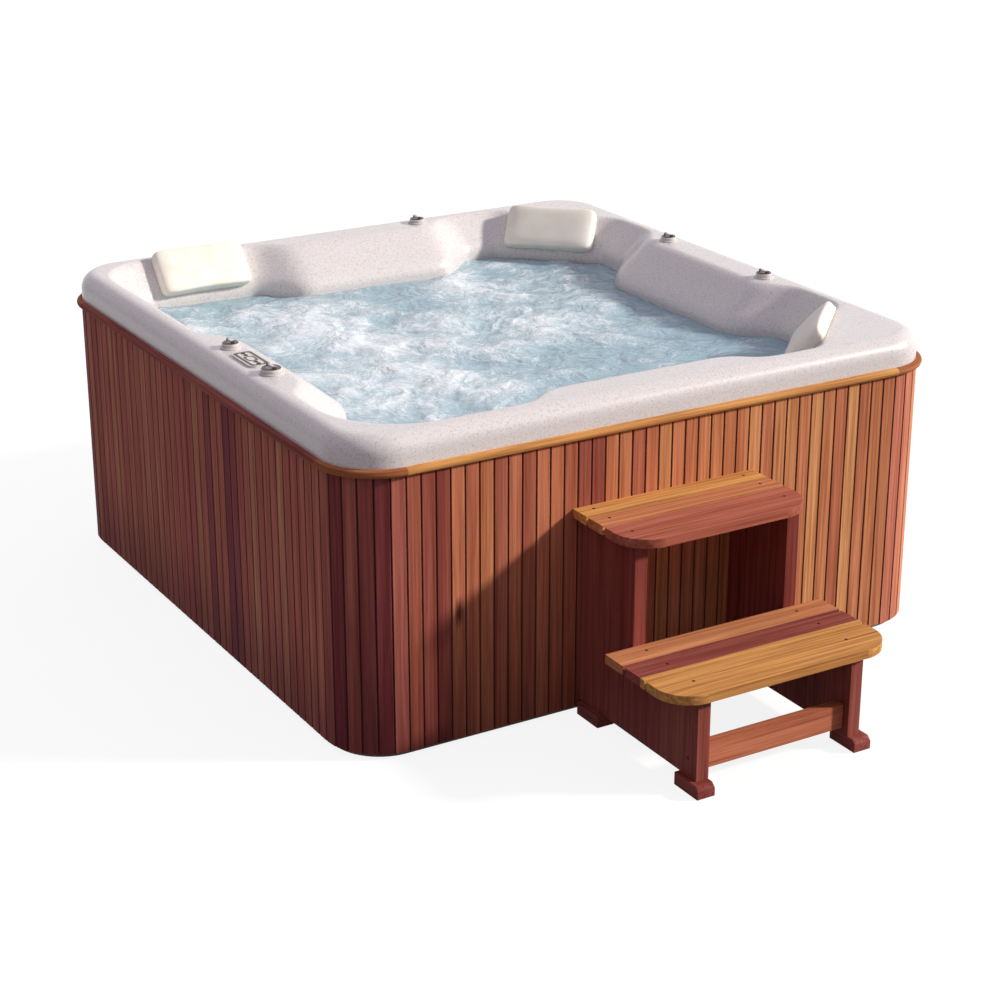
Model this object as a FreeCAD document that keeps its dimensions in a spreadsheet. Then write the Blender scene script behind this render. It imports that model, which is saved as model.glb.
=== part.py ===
import FreeCAD, Part
import math
import os
import types
import Sketcher

# Wood-skirted hot tub with a moulded acrylic shell and free-standing wooden steps.
# Millimetres. Origin at the centre of the tub's base on the floor, +Z up,
# +X to the right along the face with the steps, +Y towards the back.

V = FreeCAD.Vector
Rot = FreeCAD.Rotation

SIZES = [
    # cabinet
    ("tub_width", 2100, "outside of the slats, left to right"),
    ("tub_depth", 2160, "outside of the slats, front to back"),
    ("corner_radius", 180, "outside radius of the cabinet corners"),
    ("slat_thick", 14, "slat thickness"),
    ("slat_pitch", 47, "slat width wanted, groove to groove"),
    ("slat_gap", 0.8, "open gap between two slats"),
    ("slat_bevel", 3, "bevel on the slat's front edges"),
    ("slat_base", 18, "height of the slats' bottom ends"),
    ("panel_gap", 1.5, "play round the skirt panels"),
    ("backing_thick", 9, "board behind the slats"),
    ("pan_thick", 14, "moulded base pan"),
    ("timber_thick", 38, "frame timber, narrow side"),
    ("timber_wide", 64, "frame timber, wide side"),
    ("trim_base_height", 871, "underside of the wooden trim bead"),
    ("trim_height", 24, "trim bead height"),
    ("trim_out", 16, "how far the trim stands out from the slats"),
    # shell
    ("shell_wall", 8, "acrylic and glass-fibre wall"),
    ("lip_inset", 3, "lip behind the face of the slats"),
    ("lip_height", 90, "lip above the trim"),
    ("lip_roll", 55, "roll on the lip's outer edge"),
    ("rim_width", 75, "lip face to the start of the slope, at a seat"),
    ("shoulder_width", 100, "slope from rim to wall, at a seat"),
    ("shoulder_drop", 115, "height of that slope"),
    ("rim_bulge", 65, "extra rim width on the middle of a side"),
    ("wall_bulge", 125, "extra wall depth on the middle of a side"),
    ("right_bulge_length", 690, "flat of the right bulge"),
    ("left_bulge_length", 520, "flat of the left bulge"),
    ("left_bulge_centre", 240, "left bulge, towards the front of centre"),
    ("seat_back_room", 137, "wall between a corner seat's back and the next bulge"),
    ("lounge_back_room", 23, "wall between the lounge pillow and the back bulge"),
    ("skimmer_side_room", 29, "wall between the skimmer's flange and the front bulge"),
    ("seat_chamfer", 285, "diagonal back of a corner seat"),
    ("foot_corner_radius", 160, "wall corner at the foot of the lounge"),
    ("head_corner_radius", 90, "wall corner at the head of the lounge"),
    ("bench_height", 470, "top of the bench"),
    ("floor_height", 110, "footwell floor"),
    ("bench_width", 442, "side wall to the footwell"),
    ("bench_depth", 422, "front or back wall to the footwell"),
    ("well_radius", 90, "footwell corners"),
    ("seat_drop", 55, "moulded seat below the bench"),
    ("seat_ledge", 25, "bench left between a seat and the wall"),
    ("seat_reach", 470, "seat along the wall from its corner"),
    ("block_side", 120, "foam block under the footwell"),
    # pillows
    ("pillow_width", 344, "headrest pillow, along the wall"),
    ("pillow_height", 158, "headrest pillow, up the slope"),
    ("pillow_thick", 46, "crown of the pillow"),
    ("lounge_pillow_inset", 277, "middle of the lounge pillow, from the left wall"),
    # rim fittings
    ("fitting_inset", 100, "rim fittings, in from the lip's face"),
    ("right_valve_spread", 570, "between the two right air valves"),
    ("back_valve_inset", 35, "back air valve, from the end of the back bulge"),
    ("valve_pitch", 147, "rim fittings beside the keypad, centre to centre"),
    ("air_neck_radius", 20, "air valve neck"),
    ("air_collar_radius", 33, "air valve collar"),
    ("air_knob_radius", 27, "air valve knob"),
    ("diverter_neck_radius", 24, "diverter neck"),
    ("diverter_collar_radius", 38, "diverter collar"),
    ("diverter_knob_radius", 32, "diverter knob"),
    ("collar_thick", 6, "collar above the rim"),
    ("knob_thick", 13, "knob disc"),
    ("neck_length", 60, "valve neck below the rim"),
    ("stem_radius", 7, "knob stem"),
    ("stem_length", 36, "knob stem below the rim"),
    ("running_play", 0.05, "shaft clearance on the radius"),
    ("face_play", 0.3, "clearance between faces that pass"),
    ("bezel_width", 70, "keypad bezel across the rim"),
    ("bezel_length", 154, "keypad bezel along the rim"),
    ("bezel_thick", 6, "keypad bezel above the rim"),
    ("bezel_corner", 22, "keypad bezel corners"),
    ("keypad_box_width", 50, "keypad housing across the rim"),
    ("keypad_box_length", 138, "keypad housing along the rim"),
    ("keypad_box_depth", 26, "keypad housing below the rim"),
    ("display_width", 36, "display window across the rim"),
    ("display_length", 52, "display window along the rim"),
    ("display_thick", 2, "display window"),
    ("button_radius", 7, "keypad button"),
    ("button_pitch", 19, "between two buttons"),
    ("button_length", 8, "button height"),
    ("button_proud", 1.5, "button above the bezel"),
    ("button_room", 2.5, "space under a button"),
    # jets
    ("jet_height", 650, "jet axis above the floor"),
    ("jet_spacing", 300, "between the two jets of a bulge"),
    ("jet_neck_radius", 28, "jet body in the wall"),
    ("jet_flange_radius", 40, "jet flange inside the tub"),
    ("jet_face_radius", 37, "turning jet face"),
    ("jet_hub_radius", 20, "hub of the jet face"),
    ("jet_tail", 90, "wall to the hose under the jet body"),
    ("hose_radius", 12, "hose from the manifold to a jet"),
    # water works
    ("pump_offset", 250, "pump axis, in front of centre"),
    ("pump_height", 190, "pump axis above the floor"),
    ("pump_room", 210, "pump outlet, left of the footwell"),
    ("motor_radius", 78, "pump motor"),
    ("motor_length", 240, "pump motor"),
    ("volute_radius", 82, "pump wet end"),
    ("volute_length", 74, "pump wet end"),
    ("shaft_radius", 8, "pump shaft"),
    ("impeller_radius", 54, "pump impeller"),
    ("pipe_radius", 28, "main pipe outside"),
    ("pipe_bore", 22, "main pipe inside"),
    ("elbow_radius", 55, "bend of the main pipes"),
    ("slice_valve_length", 46, "slice valve along its pipe"),
    ("bonnet_height", 80, "slice valve, axis to the top of its bonnet"),
    ("gate_stem_radius", 5, "slice valve stem"),
    ("heater_radius", 38, "heater tube"),
    ("heater_length", 520, "heater tube"),
    ("heater_height", 365, "heater axis above the floor"),
    ("control_box_length", 360, "control box"),
    ("control_box_depth", 112, "control box"),
    ("gland_radius", 11, "cable gland of the control box"),
    ("gland_length", 30, "cable gland of the control box"),
    ("branch_spacing", 260, "between the two suction covers"),
    ("branch_room", 45, "branch pipe, left of the footwell"),
    ("cover_radius", 50, "suction cover"),
    ("cover_tail", 18, "suction cover's tail behind the shell"),
    ("filter_pipe_room", 73, "filter pipe, left of the footwell"),
    ("filter_pipe_radius", 20, "filter pipe"),
    ("filter_pipe_height", 300, "level run of the filter pipe"),
    ("skimmer_offset", 62, "skimmer box, left of the filter pipe"),
    ("skimmer_width", 182, "skimmer box"),
    ("skimmer_depth", 100, "skimmer box behind the shell wall"),
    ("skimmer_base_height", 500, "underside of the skimmer box"),
    ("skimmer_wall", 4, "skimmer box wall"),
    ("skimmer_flange", 12, "skimmer flange round its sleeve"),
    ("mouth_width", 150, "skimmer mouth"),
    ("mouth_height", 84, "skimmer mouth"),
    ("mouth_top_height", 858, "top of the skimmer mouth"),
    ("weir_thick", 5, "weir flap"),
    ("weir_setback", 10, "weir flap behind the shell wall"),
    ("weir_pin_radius", 3, "weir hinge pin"),
    ("cartridge_radius", 43, "filter cartridge"),
    ("cartridge_length", 225, "filter cartridge"),
    # steps
    ("step_gap", 0.2, "tub face to the back of the steps"),
    ("side_half_width", 290, "outside of the step sides, half"),
    ("side_thick", 42, "step side boards"),
    ("tall_side_depth", 279, "tall rear side board"),
    ("low_side_depth", 326, "low front side board"),
    ("tread_thick", 28, "tread boards"),
    ("lower_tread_height", 324, "top of the lower tread"),
    ("upper_tread_height", 662, "top of the upper tread"),
    ("upper_half_width", 322, "upper tread, half its width"),
    ("lower_half_width", 386, "lower tread, half its width"),
    ("board_gap", 12, "gap between tread boards"),
    ("upper_back_board", 70, "upper tread, back board"),
    ("upper_mid_board", 76, "upper tread, middle board"),
    ("upper_front_board", 150, "upper tread, front board"),
    ("lower_back_board", 92, "lower tread, back board"),
    ("lower_mid_board", 94, "lower tread, middle board"),
    ("lower_front_board", 148, "lower tread, front board"),
    ("board_corner", 105, "rounded ends of the front boards"),
    ("foot_height", 40, "step foot"),
    ("foot_length", 116, "step foot"),
    ("foot_width", 60, "step foot"),
    ("foot_toe", 34, "front foot ahead of its side board"),
    ("foot_bevel", 12, "bevel on the front foot"),
    ("rail_height", 76, "cross rail"),
    ("rail_thick", 36, "cross rail"),
    ("rail_base_height", 58, "underside of the front rail"),
    ("rail_setback", 24, "front rail behind the side's edge"),
    ("batten_width", 70, "batten under a tread"),
    ("batten_thick", 22, "batten under a tread"),
    ("plug_radius", 5, "wooden screw plug"),
    ("plug_depth", 10, "wooden screw plug"),
]

# counts that no size drives
POSTS_PER_SIDE = 4
BUTTONS_PER_END = 2
BEAD_FACETS = 6


class Dim:
    """A size as a number, together with the sheet formula it comes from."""

    def __init__(self, value, text):
        self.value = value
        self.text = text

    def __add__(self, other):
        other = as_dim(other)
        return Dim(self.value + other.value, "(%s + %s)" % (self.text, other.text))

    def __sub__(self, other):
        other = as_dim(other)
        return Dim(self.value - other.value, "(%s - %s)" % (self.text, other.text))

    def __mul__(self, other):
        other = as_dim(other)
        return Dim(self.value * other.value, "(%s * %s)" % (self.text, other.text))

    def __truediv__(self, other):
        other = as_dim(other)
        return Dim(self.value / other.value, "(%s / %s)" % (self.text, other.text))

    def __radd__(self, other):
        return as_dim(other) + self

    def __rsub__(self, other):
        return as_dim(other) - self

    def __rmul__(self, other):
        return as_dim(other) * self

    def __rtruediv__(self, other):
        return as_dim(other) / self

    def __neg__(self):
        return Dim(-self.value, "(-%s)" % self.text)

    def rounded(self):
        return Dim(float(round(self.value)), "round(%s)" % self.text)

    def cosine(self):
        return Dim(math.cos(math.radians(self.value)), "cos(%s)" % self.text)

    def sine(self):
        return Dim(math.sin(math.radians(self.value)), "sin(%s)" % self.text)


def as_dim(item):
    if isinstance(item, Dim):
        return item
    return Dim(float(item), "(%.10g)" % item)


doc = FreeCAD.newDocument("HotTub")
sheet = doc.addObject("Spreadsheet::Sheet", "Sizes")
for row, (alias, value, note) in enumerate(SIZES, start=1):
    sheet.set("A%d" % row, note)
    sheet.set("B%d" % row, str(value))
    sheet.setAlias("B%d" % row, alias)
doc.recompute()
S = types.SimpleNamespace()
for alias, value, note in SIZES:
    setattr(S, alias, Dim(float(sheet.get(alias)), "Sizes." + alias))

nodes = []

AIMS = {
    "+Z": Rot(),
    "-Z": Rot(V(1, 0, 0), 180),
    "+X": Rot(V(0, 1, 0), 90),
    "-X": Rot(V(0, 1, 0), -90),
    "+Y": Rot(V(1, 0, 0), -90),
    "-Y": Rot(V(1, 0, 0), 90),
}
# quarter turns about Z that carry the front side to each side of the cabinet
QUARTERS = {"front": 0, "right": 90, "back": 180, "left": 270}


def node(label, obj):
    """Marks a finished sub-part and gives it the name of its file."""
    obj.Label = label
    nodes.append(obj)
    return obj


def bind(obj, prop, size):
    obj.setExpression(prop, as_dim(size).text)


def seat(obj, x, y, z, rotation=None):
    """Places an object, its position bound to the sheet."""
    obj.Placement = FreeCAD.Placement(V(0, 0, 0), rotation or Rot())
    for axis, size in zip("xyz", (x, y, z)):
        bind(obj, "Placement.Base." + axis, size)
    return obj


def box(x, y, z, lx, ly, lz):
    obj = doc.addObject("Part::Box", "Block")
    bind(obj, "Length", lx)
    bind(obj, "Width", ly)
    bind(obj, "Height", lz)
    return seat(obj, x, y, z)


def cylinder(radius, length, x, y, z, aim="+Z"):
    obj = doc.addObject("Part::Cylinder", "Rod")
    bind(obj, "Radius", radius)
    bind(obj, "Height", length)
    return seat(obj, x, y, z, AIMS[aim])


def quarter_ring(outer, inner, height, x, y, z, turn):
    """A quarter of a ring about a vertical axis, starting at the given turn."""
    solids = []
    for radius in (outer, inner):
        obj = doc.addObject("Part::Cylinder", "Quarter")
        obj.Angle = 90
        bind(obj, "Radius", radius)
        bind(obj, "Height", height)
        solids.append(seat(obj, x, y, z, Rot(V(0, 0, 1), turn)))
    return cut(solids[0], solids[1])


def cut(base, tool):
    obj = doc.addObject("Part::Cut", "Cut")
    obj.Base = base
    obj.Tool = tool
    return obj


def fuse(shapes):
    obj = doc.addObject("Part::MultiFuse", "Fuse")
    obj.Shapes = shapes
    return obj


def group(shapes):
    obj = doc.addObject("Part::Compound", "Group")
    obj.Links = shapes
    return obj


def solid_feature(shape):
    obj = doc.addObject("Part::Feature", "Formed")
    obj.Shape = shape
    return obj


def new_body():
    body = doc.addObject("PartDesign::Body", "Body")
    body.AllowCompound = True
    return body


def origin_part(body, role):
    return [item for item in body.Origin.OriginFeatures if item.Role == role][0]


def polygon_sketch(body, plane, points):
    """A closed polygon on an origin plane, each corner bound to the sheet."""
    sketch = body.newObject("Sketcher::SketchObject", "Sketch")
    sketch.AttachmentSupport = [(origin_part(body, plane), "")]
    sketch.MapMode = "FlatFace"
    corners = [(as_dim(across), as_dim(along)) for across, along in points]
    count = len(corners)
    for index in range(count):
        start = corners[index]
        end = corners[(index + 1) % count]
        line = Part.LineSegment(V(start[0].value, start[1].value, 0), V(end[0].value, end[1].value, 0))
        sketch.addGeometry(line, False)
    for index in range(count):
        sketch.addConstraint(Sketcher.Constraint("Coincident", index, 2, (index + 1) % count, 1))
    for index, corner in enumerate(corners):
        for kind, size in zip(("DistanceX", "DistanceY"), corner):
            number = sketch.addConstraint(Sketcher.Constraint(kind, -1, 1, index, 1, size.value))
            sketch.setExpression("Constraints[%d]" % number, size.text)
    return sketch


def pad(body, plane, points, length):
    feature = body.newObject("PartDesign::Pad", "Pad")
    feature.Profile = polygon_sketch(body, plane, points)
    bind(feature, "Length", length)
    body.Tip = feature
    return feature


def rectangle(x0, y0, x1, y1):
    return [(x0, y0), (x1, y0), (x1, y1), (x0, y1)]


def round_edges(body, feature, radius, wanted):
    """Fillets the edges of a feature that a test picks out."""
    doc.recompute()
    names = []
    for number, edge in enumerate(feature.Shape.Edges, start=1):
        if wanted(edge):
            names.append("Edge%d" % number)
    rounding = body.newObject("PartDesign::Fillet", "Fillet")
    rounding.Base = (feature, names)
    bind(rounding, "Radius", radius)
    body.Tip = rounding
    return rounding


def is_upright(edge):
    return edge.BoundBox.XLength < 0.01 and edge.BoundBox.YLength < 0.01


def turned(profile, angle=360):
    """A body turned about its own Z from a profile of radius and height pairs."""
    body = new_body()
    sketch = polygon_sketch(body, "XZ_Plane", profile)
    feature = body.newObject("PartDesign::Revolution", "Turned")
    feature.Profile = sketch
    feature.ReferenceAxis = (sketch, ["V_Axis"])
    feature.Angle = angle
    body.Tip = feature
    return body


def corner_values(points):
    return [V(*[as_dim(size).value for size in point]) for point in points]


def pipe_solid(points, radius, bend):
    """A round bar along a path with square corners, each rounded to the bend."""
    spots = corner_values(points)
    reach = as_dim(bend).value
    edges = []
    start = spots[0]
    for before, corner, after in zip(spots, spots[1:], spots[2:]):
        into = (corner - before).normalize()
        out = (after - corner).normalize()
        first = corner - into * reach
        last = corner + out * reach
        middle = corner + (out - into) * (reach * (1 - math.sqrt(0.5)))
        edges.append(Part.LineSegment(start, first).toShape())
        edges.append(Part.Arc(first, middle, last).toShape())
        start = last
    edges.append(Part.LineSegment(start, spots[-1]).toShape())
    path = Part.Wire(edges)
    ring = Part.Wire(Part.makeCircle(as_dim(radius).value, spots[0], spots[1] - spots[0]))
    return path.makePipeShell([ring], True, False)


def pipe(points, radius, bore, bend):
    return solid_feature(pipe_solid(points, radius, bend).cut(pipe_solid(points, bore, bend)))


# Shared positions

half_x = S.tub_width / 2
half_y = S.tub_depth / 2
run_x = S.tub_width - 2 * S.corner_radius
run_y = S.tub_depth - 2 * S.corner_radius
skin = S.slat_thick + S.backing_thick
frame_x = half_x - skin
frame_y = half_y - skin
frame_radius = S.corner_radius - skin
lip_base = S.trim_base_height + S.trim_height
rim_top = lip_base + S.lip_height
lip_x = half_x - S.lip_inset
lip_y = half_y - S.lip_inset
shoulder_base = rim_top - S.shoulder_drop
wall_inset = S.rim_width + S.shoulder_width
wall_x = lip_x - wall_inset
wall_y = lip_y - wall_inset
bulge_x = wall_x - S.wall_bulge
bulge_y = wall_y - S.wall_bulge
well_x = wall_x - S.bench_width
well_y = wall_y - S.bench_depth
lounge_x = S.lounge_pillow_inset - wall_x
filter_x = -well_x - S.filter_pipe_room
skimmer_x = filter_x - S.skimmer_offset
sleeve_width = S.mouth_width + 2 * S.skimmer_wall
flange_half = sleeve_width / 2 + S.skimmer_flange
right_flat_end = wall_x - S.seat_chamfer - S.seat_back_room - S.wall_bulge
front_flat_start = skimmer_x + flange_half + S.skimmer_side_room + S.wall_bulge
back_flat_start = lounge_x + S.pillow_width / 2 + S.lounge_back_room + S.wall_bulge
back_bulge_centre = (back_flat_start + right_flat_end) / 2
CORNERS = [(1, 1, 0), (-1, 1, 90), (-1, -1, 180), (1, -1, 270)]


def side_frame(side, depth):
    """Length of a side's straight run, and the start of that run at a depth from the face."""
    if side in ("front", "back"):
        run = run_x
        face = half_y - depth
    else:
        run = run_y
        face = half_x - depth
    starts = {
        "front": (-run / 2, -face),
        "right": (face, -run / 2),
        "back": (run / 2, face),
        "left": (-face, run / 2),
    }
    return run, starts[side]


def side_box(side, start, depth, length, thick, base, height):
    """A box on a side: start along the run, depth from the face, thickness inwards."""
    run, (x, y) = side_frame(side, depth)
    obj = doc.addObject("Part::Box", "Block")
    bind(obj, "Length", length)
    bind(obj, "Width", thick)
    bind(obj, "Height", height)
    turn = QUARTERS[side]
    along = {"front": (start, 0), "right": (0, start), "back": (-start, 0), "left": (0, -start)}[side]
    return seat(obj, x + along[0], y + along[1], base, Rot(V(0, 0, 1), turn))


# Base pan and timber frame

pan = new_body()
pan_pad = pad(pan, "XY_Plane", rectangle(-frame_x, -frame_y, frame_x, frame_y), S.pan_thick)
round_edges(pan, pan_pad, frame_radius, is_upright)
node("base_pan", pan)


def timber_ring(base):
    """Four straight rails and four curved corner plates at one height."""
    solids = []
    for side in QUARTERS:
        run = side_frame(side, skin)[0]
        solids.append(side_box(side, 0, skin, run, S.timber_thick, base, S.timber_wide))
    for sign_x, sign_y, turn in CORNERS:
        solids.append(quarter_ring(frame_radius, frame_radius - S.timber_thick, S.timber_wide,
                                   sign_x * run_x / 2, sign_y * run_y / 2, base, turn))
    return group(solids)


top_rail_base = lip_base - S.timber_wide
post_base = S.pan_thick + S.timber_wide
node("bottom_frame", timber_ring(S.pan_thick))
node("top_frame", timber_ring(top_rail_base))
posts = []
for side in QUARTERS:
    for index in range(POSTS_PER_SIDE):
        run = side_frame(side, skin)[0]
        start = (run - S.timber_wide) * index / (POSTS_PER_SIDE - 1)
        posts.append(side_box(side, start, skin, S.timber_wide, S.timber_thick,
                              post_base, top_rail_base - post_base))
node("frame_posts", group(posts))

block_height = S.floor_height - S.shell_wall - S.pan_thick
blocks = []
for sign_x, sign_y, turn in CORNERS:
    block_x = sign_x * (well_x - S.block_side) - S.block_side / 2
    block_y = sign_y * (well_y - S.block_side) - S.block_side / 2
    blocks.append(box(block_x, block_y, S.pan_thick, S.block_side, S.block_side, block_height))
node("floor_blocks", group(blocks))

# Skirt: backing boards, slats and the trim band

skirt_height = S.trim_base_height - S.panel_gap - S.slat_base


def backing_board(side, play):
    run = side_frame(side, S.slat_thick)[0]
    return side_box(side, play, S.slat_thick, run - 2 * play, S.backing_thick, S.slat_base, skirt_height)


backing = [backing_board(side, as_dim(0)) for side in ("front", "right", "back")]
for sign_x, sign_y, turn in CORNERS:
    backing.append(quarter_ring(frame_radius + S.backing_thick, frame_radius, skirt_height,
                                sign_x * run_x / 2, sign_y * run_y / 2, S.slat_base, turn))
node("skirt_backing", group(backing))
node("access_backing", backing_board("left", S.panel_gap))


def slat_panel(side):
    """A row of upright slats with bevelled front edges along one side."""
    run, (x, y) = side_frame(side, S.slat_thick)
    count = (run / S.slat_pitch).rounded()
    width = run / count
    near = S.slat_gap / 2
    far = width - S.slat_gap / 2
    body = new_body()
    profile = [
        (near, 0),
        (far, 0),
        (far, S.slat_bevel - S.slat_thick),
        (far - S.slat_bevel, -S.slat_thick),
        (near + S.slat_bevel, -S.slat_thick),
        (near, S.slat_bevel - S.slat_thick),
    ]
    slat = pad(body, "XY_Plane", profile, skirt_height)
    row = body.newObject("PartDesign::LinearPattern", "Row")
    row.Originals = [slat]
    row.Direction = (origin_part(body, "X_Axis"), [""])
    bind(row, "Length", run - width)
    bind(row, "Occurrences", count)
    body.Tip = row
    return seat(body, x, y, S.slat_base, Rot(V(0, 0, 1), QUARTERS[side]))


node("front_slats", slat_panel("front"))
node("right_slats", slat_panel("right"))
node("back_slats", slat_panel("back"))
node("access_slats", slat_panel("left"))


def corner_staves(sign_x, sign_y, turn):
    """Staves round one cabinet corner, flat on both faces."""
    count = (S.corner_radius * (math.pi / 2) / S.slat_pitch).rounded()
    step = 90 / count
    outer = S.corner_radius
    inner = (S.corner_radius - S.slat_thick) / (step / 2).cosine()
    gap = S.slat_gap / 2 / S.corner_radius * (180 / math.pi)
    bevel = S.slat_bevel / S.corner_radius * (180 / math.pi)
    polar = [
        (inner, gap),
        (outer - S.slat_bevel, gap),
        (outer, gap + bevel),
        (outer, step - gap - bevel),
        (outer - S.slat_bevel, step - gap),
        (inner, step - gap),
    ]
    body = new_body()
    profile = [(radius * angle.cosine(), radius * angle.sine()) for radius, angle in polar]
    stave = pad(body, "XY_Plane", profile, skirt_height)
    ring = body.newObject("PartDesign::PolarPattern", "Ring")
    ring.Originals = [stave]
    ring.Axis = (origin_part(body, "Z_Axis"), [""])
    bind(ring, "Angle", 90 - step)
    bind(ring, "Occurrences", count)
    body.Tip = ring
    return seat(body, sign_x * run_x / 2, sign_y * run_y / 2, S.slat_base, Rot(V(0, 0, 1), turn))


node("corner_slats", group([corner_staves(*corner) for corner in CORNERS]))

trim_depth = skin + S.trim_out


def trim_profile(start, sign):
    """The half-round section of the trim, out from a start in the given direction."""
    radius = S.trim_height / 2
    centre = start + sign * (trim_depth - radius)
    spots = [(start, 0)]
    for index in range(BEAD_FACETS + 1):
        angle = math.pi * (index / BEAD_FACETS - 0.5)
        spots.append((centre + sign * radius * math.cos(angle), radius + radius * math.sin(angle)))
    return spots + [(start, S.trim_height)]


rails = []
for side in QUARTERS:
    run, (x, y) = side_frame(side, skin)
    rail = new_body()
    pad(rail, "YZ_Plane", trim_profile(as_dim(0), -1), run)
    rails.append(seat(rail, x, y, S.trim_base_height, Rot(V(0, 0, 1), QUARTERS[side])))
node("trim_rails", group(rails))
bends = []
for sign_x, sign_y, turn in CORNERS:
    bend = turned(trim_profile(frame_radius, 1), 90)
    bends.append(seat(bend, sign_x * run_x / 2, sign_y * run_y / 2, S.trim_base_height,
                      Rot(V(0, 0, 1), turn)))
node("trim_corners", group(bends))

# Acrylic shell: rolled lip, sloping shoulder, bulged walls, bench and footwell

BULGES = [
    ("front", (front_flat_start + right_flat_end) / 2, right_flat_end - front_flat_start),
    ("right", as_dim(0), S.right_bulge_length),
    ("back", -back_bulge_centre, right_flat_end - back_flat_start),
    ("left", S.left_bulge_centre, S.left_bulge_length),
]
# wall corner at the end of each side: reach along the wall, and whether it is cut straight
WALL_CORNERS = [
    (S.seat_chamfer, True),
    (S.seat_chamfer, True),
    (S.head_corner_radius, False),
    (S.foot_corner_radius, False),
]


def basin_wire(inset, bulge, spread, height):
    """Outline of the bathing space at a height: four bulged sides and four corners.

    Going outwards by the spread moves every wall by that much, so that the same
    outline serves for the inside and the outside of the shell."""
    half = (lip_x.value - inset + spread, lip_y.value - inset + spread)
    grown = wall_inset.value - inset + spread
    reaches = []
    for size, straight in WALL_CORNERS:
        rate = 2 - math.sqrt(2) if straight else 1
        reaches.append(size.value + rate * grown)
    edges = []
    turn = Rot(V(0, 0, 1), 90)
    along = V(1, 0, 0)
    out = V(0, -1, 0)
    rows = []
    for index, (side, centre, length) in enumerate(BULGES):
        across = half[1] if side in ("front", "back") else half[0]
        end = half[0] if side in ("front", "back") else half[1]
        flat = length.value / 2 - (math.sqrt(2) - 1) * spread
        middle = centre.value
        spots = [
            (-end + reaches[index - 1], across),
            (middle - flat - bulge, across),
            (middle - flat, across - bulge),
            (middle + flat, across - bulge),
            (middle + flat + bulge, across),
            (end - reaches[index], across),
        ]
        rows.append([along * run + out * face + V(0, 0, height) for run, face in spots])
        along = turn.multVec(along)
        out = turn.multVec(out)
    for index, spots in enumerate(rows):
        for first, last in zip(spots, spots[1:]):
            edges.append(Part.LineSegment(first, last).toShape())
        start = spots[-1]
        finish = rows[(index + 1) % 4][0]
        if WALL_CORNERS[index][1]:
            edges.append(Part.LineSegment(start, finish).toShape())
        else:
            ahead = (spots[-1] - spots[-2]).normalize()
            elbow = start + ahead * reaches[index]
            hub = start + finish - elbow
            middle = hub + (elbow - hub).normalize() * reaches[index]
            edges.append(Part.Arc(start, middle, finish).toShape())
    return Part.Wire(edges)


def rounded_prism(half_width, half_depth, radius, base, height):
    block = Part.makeBox(2 * half_width, 2 * half_depth, height, V(-half_width, -half_depth, base))
    return block.makeFillet(radius, [edge for edge in block.Edges if is_upright(edge)])


def seat_solids(spread):
    """The three moulded seats, sunk in the bench and clipped by the wall round them."""
    base = S.bench_height.value - S.seat_drop.value - spread
    outline = basin_wire(wall_inset.value, S.wall_bulge.value, spread - S.seat_ledge.value, base)
    room = Part.Face(outline).extrude(V(0, 0, S.seat_drop.value + 1))
    inner = well_x.value + 2 * S.seat_ledge.value - spread
    reach = S.seat_reach.value + spread
    seats = []
    for sign_x, sign_y in ((1, 1), (1, -1), (-1, 1)):
        start_x = inner if sign_x > 0 else -lip_x.value
        start_y = wall_y.value - reach if sign_y > 0 else -lip_y.value
        span_y = lip_y.value - wall_y.value + reach
        block = Part.makeBox(lip_x.value - inner, span_y, S.seat_drop.value + 1, V(start_x, start_y, base))
        seats.append(room.common(block))
    return seats


def basin_solids(spread):
    """The bathing space as solids, each wall moved out by the spread."""
    low_rim = basin_wire(S.rim_width.value, S.rim_bulge.value, spread, rim_top.value)
    low_wall = basin_wire(wall_inset.value, S.wall_bulge.value, spread, shoulder_base.value)
    bench = basin_wire(wall_inset.value, S.wall_bulge.value, spread, S.bench_height.value - spread)
    slope = Part.makeLoft([low_wall, low_rim], True, True)
    rise = shoulder_base.value - S.bench_height.value + spread
    wall = Part.Face(bench).extrude(V(0, 0, rise))
    well = rounded_prism(well_x.value + spread, well_y.value + spread, S.well_radius.value + spread,
                         S.floor_height.value - spread, S.bench_height.value - S.floor_height.value)
    return [slope, wall, well] + seat_solids(spread)


def lip_block(inset):
    """The rolled lip as a solid block, drawn in and down by the inset."""
    block = rounded_prism(lip_x.value - inset, lip_y.value - inset, S.corner_radius.value - S.lip_inset.value - inset,
                          lip_base.value, S.lip_height.value - inset)
    top = block.BoundBox.ZMax
    edges = [edge for edge in block.Edges if edge.BoundBox.ZMin > top - 0.01]
    return block.makeFillet(S.lip_roll.value - inset, edges)


wall_thick = S.shell_wall.value
lip_skin = lip_block(0).cut(lip_block(wall_thick))
hull = lip_skin.fuse(basin_solids(wall_thick))
shell_form = solid_feature(hull.cut(basin_solids(0)).removeSplitter())

# Places of the fittings that pass through the shell

fitting_x = lip_x - S.fitting_inset
fitting_y = lip_y - S.fitting_inset
keypad_y = -S.left_bulge_centre
air_spots = {
    "air_knob_back": (right_flat_end - S.back_valve_inset, fitting_y),
    "air_knob_right_back": (fitting_x, S.right_valve_spread / 2),
    "air_knob_right_front": (fitting_x, -S.right_valve_spread / 2),
    "air_knob_left": (-fitting_x, keypad_y + S.valve_pitch),
}
diverter_spot = (-fitting_x, keypad_y - S.valve_pitch)
jet_spots = [
    (back_bulge_centre - S.jet_spacing / 2, bulge_y, "-Y"),
    (back_bulge_centre + S.jet_spacing / 2, bulge_y, "-Y"),
    (bulge_x, S.jet_spacing / 2, "-X"),
    (bulge_x, -S.jet_spacing / 2, "-X"),
]
pump_y = -S.pump_offset
suction_spots = [pump_y, pump_y + S.branch_spacing]
mouth_base = S.mouth_top_height - S.mouth_height
sleeve_wall = S.skimmer_wall
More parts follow.
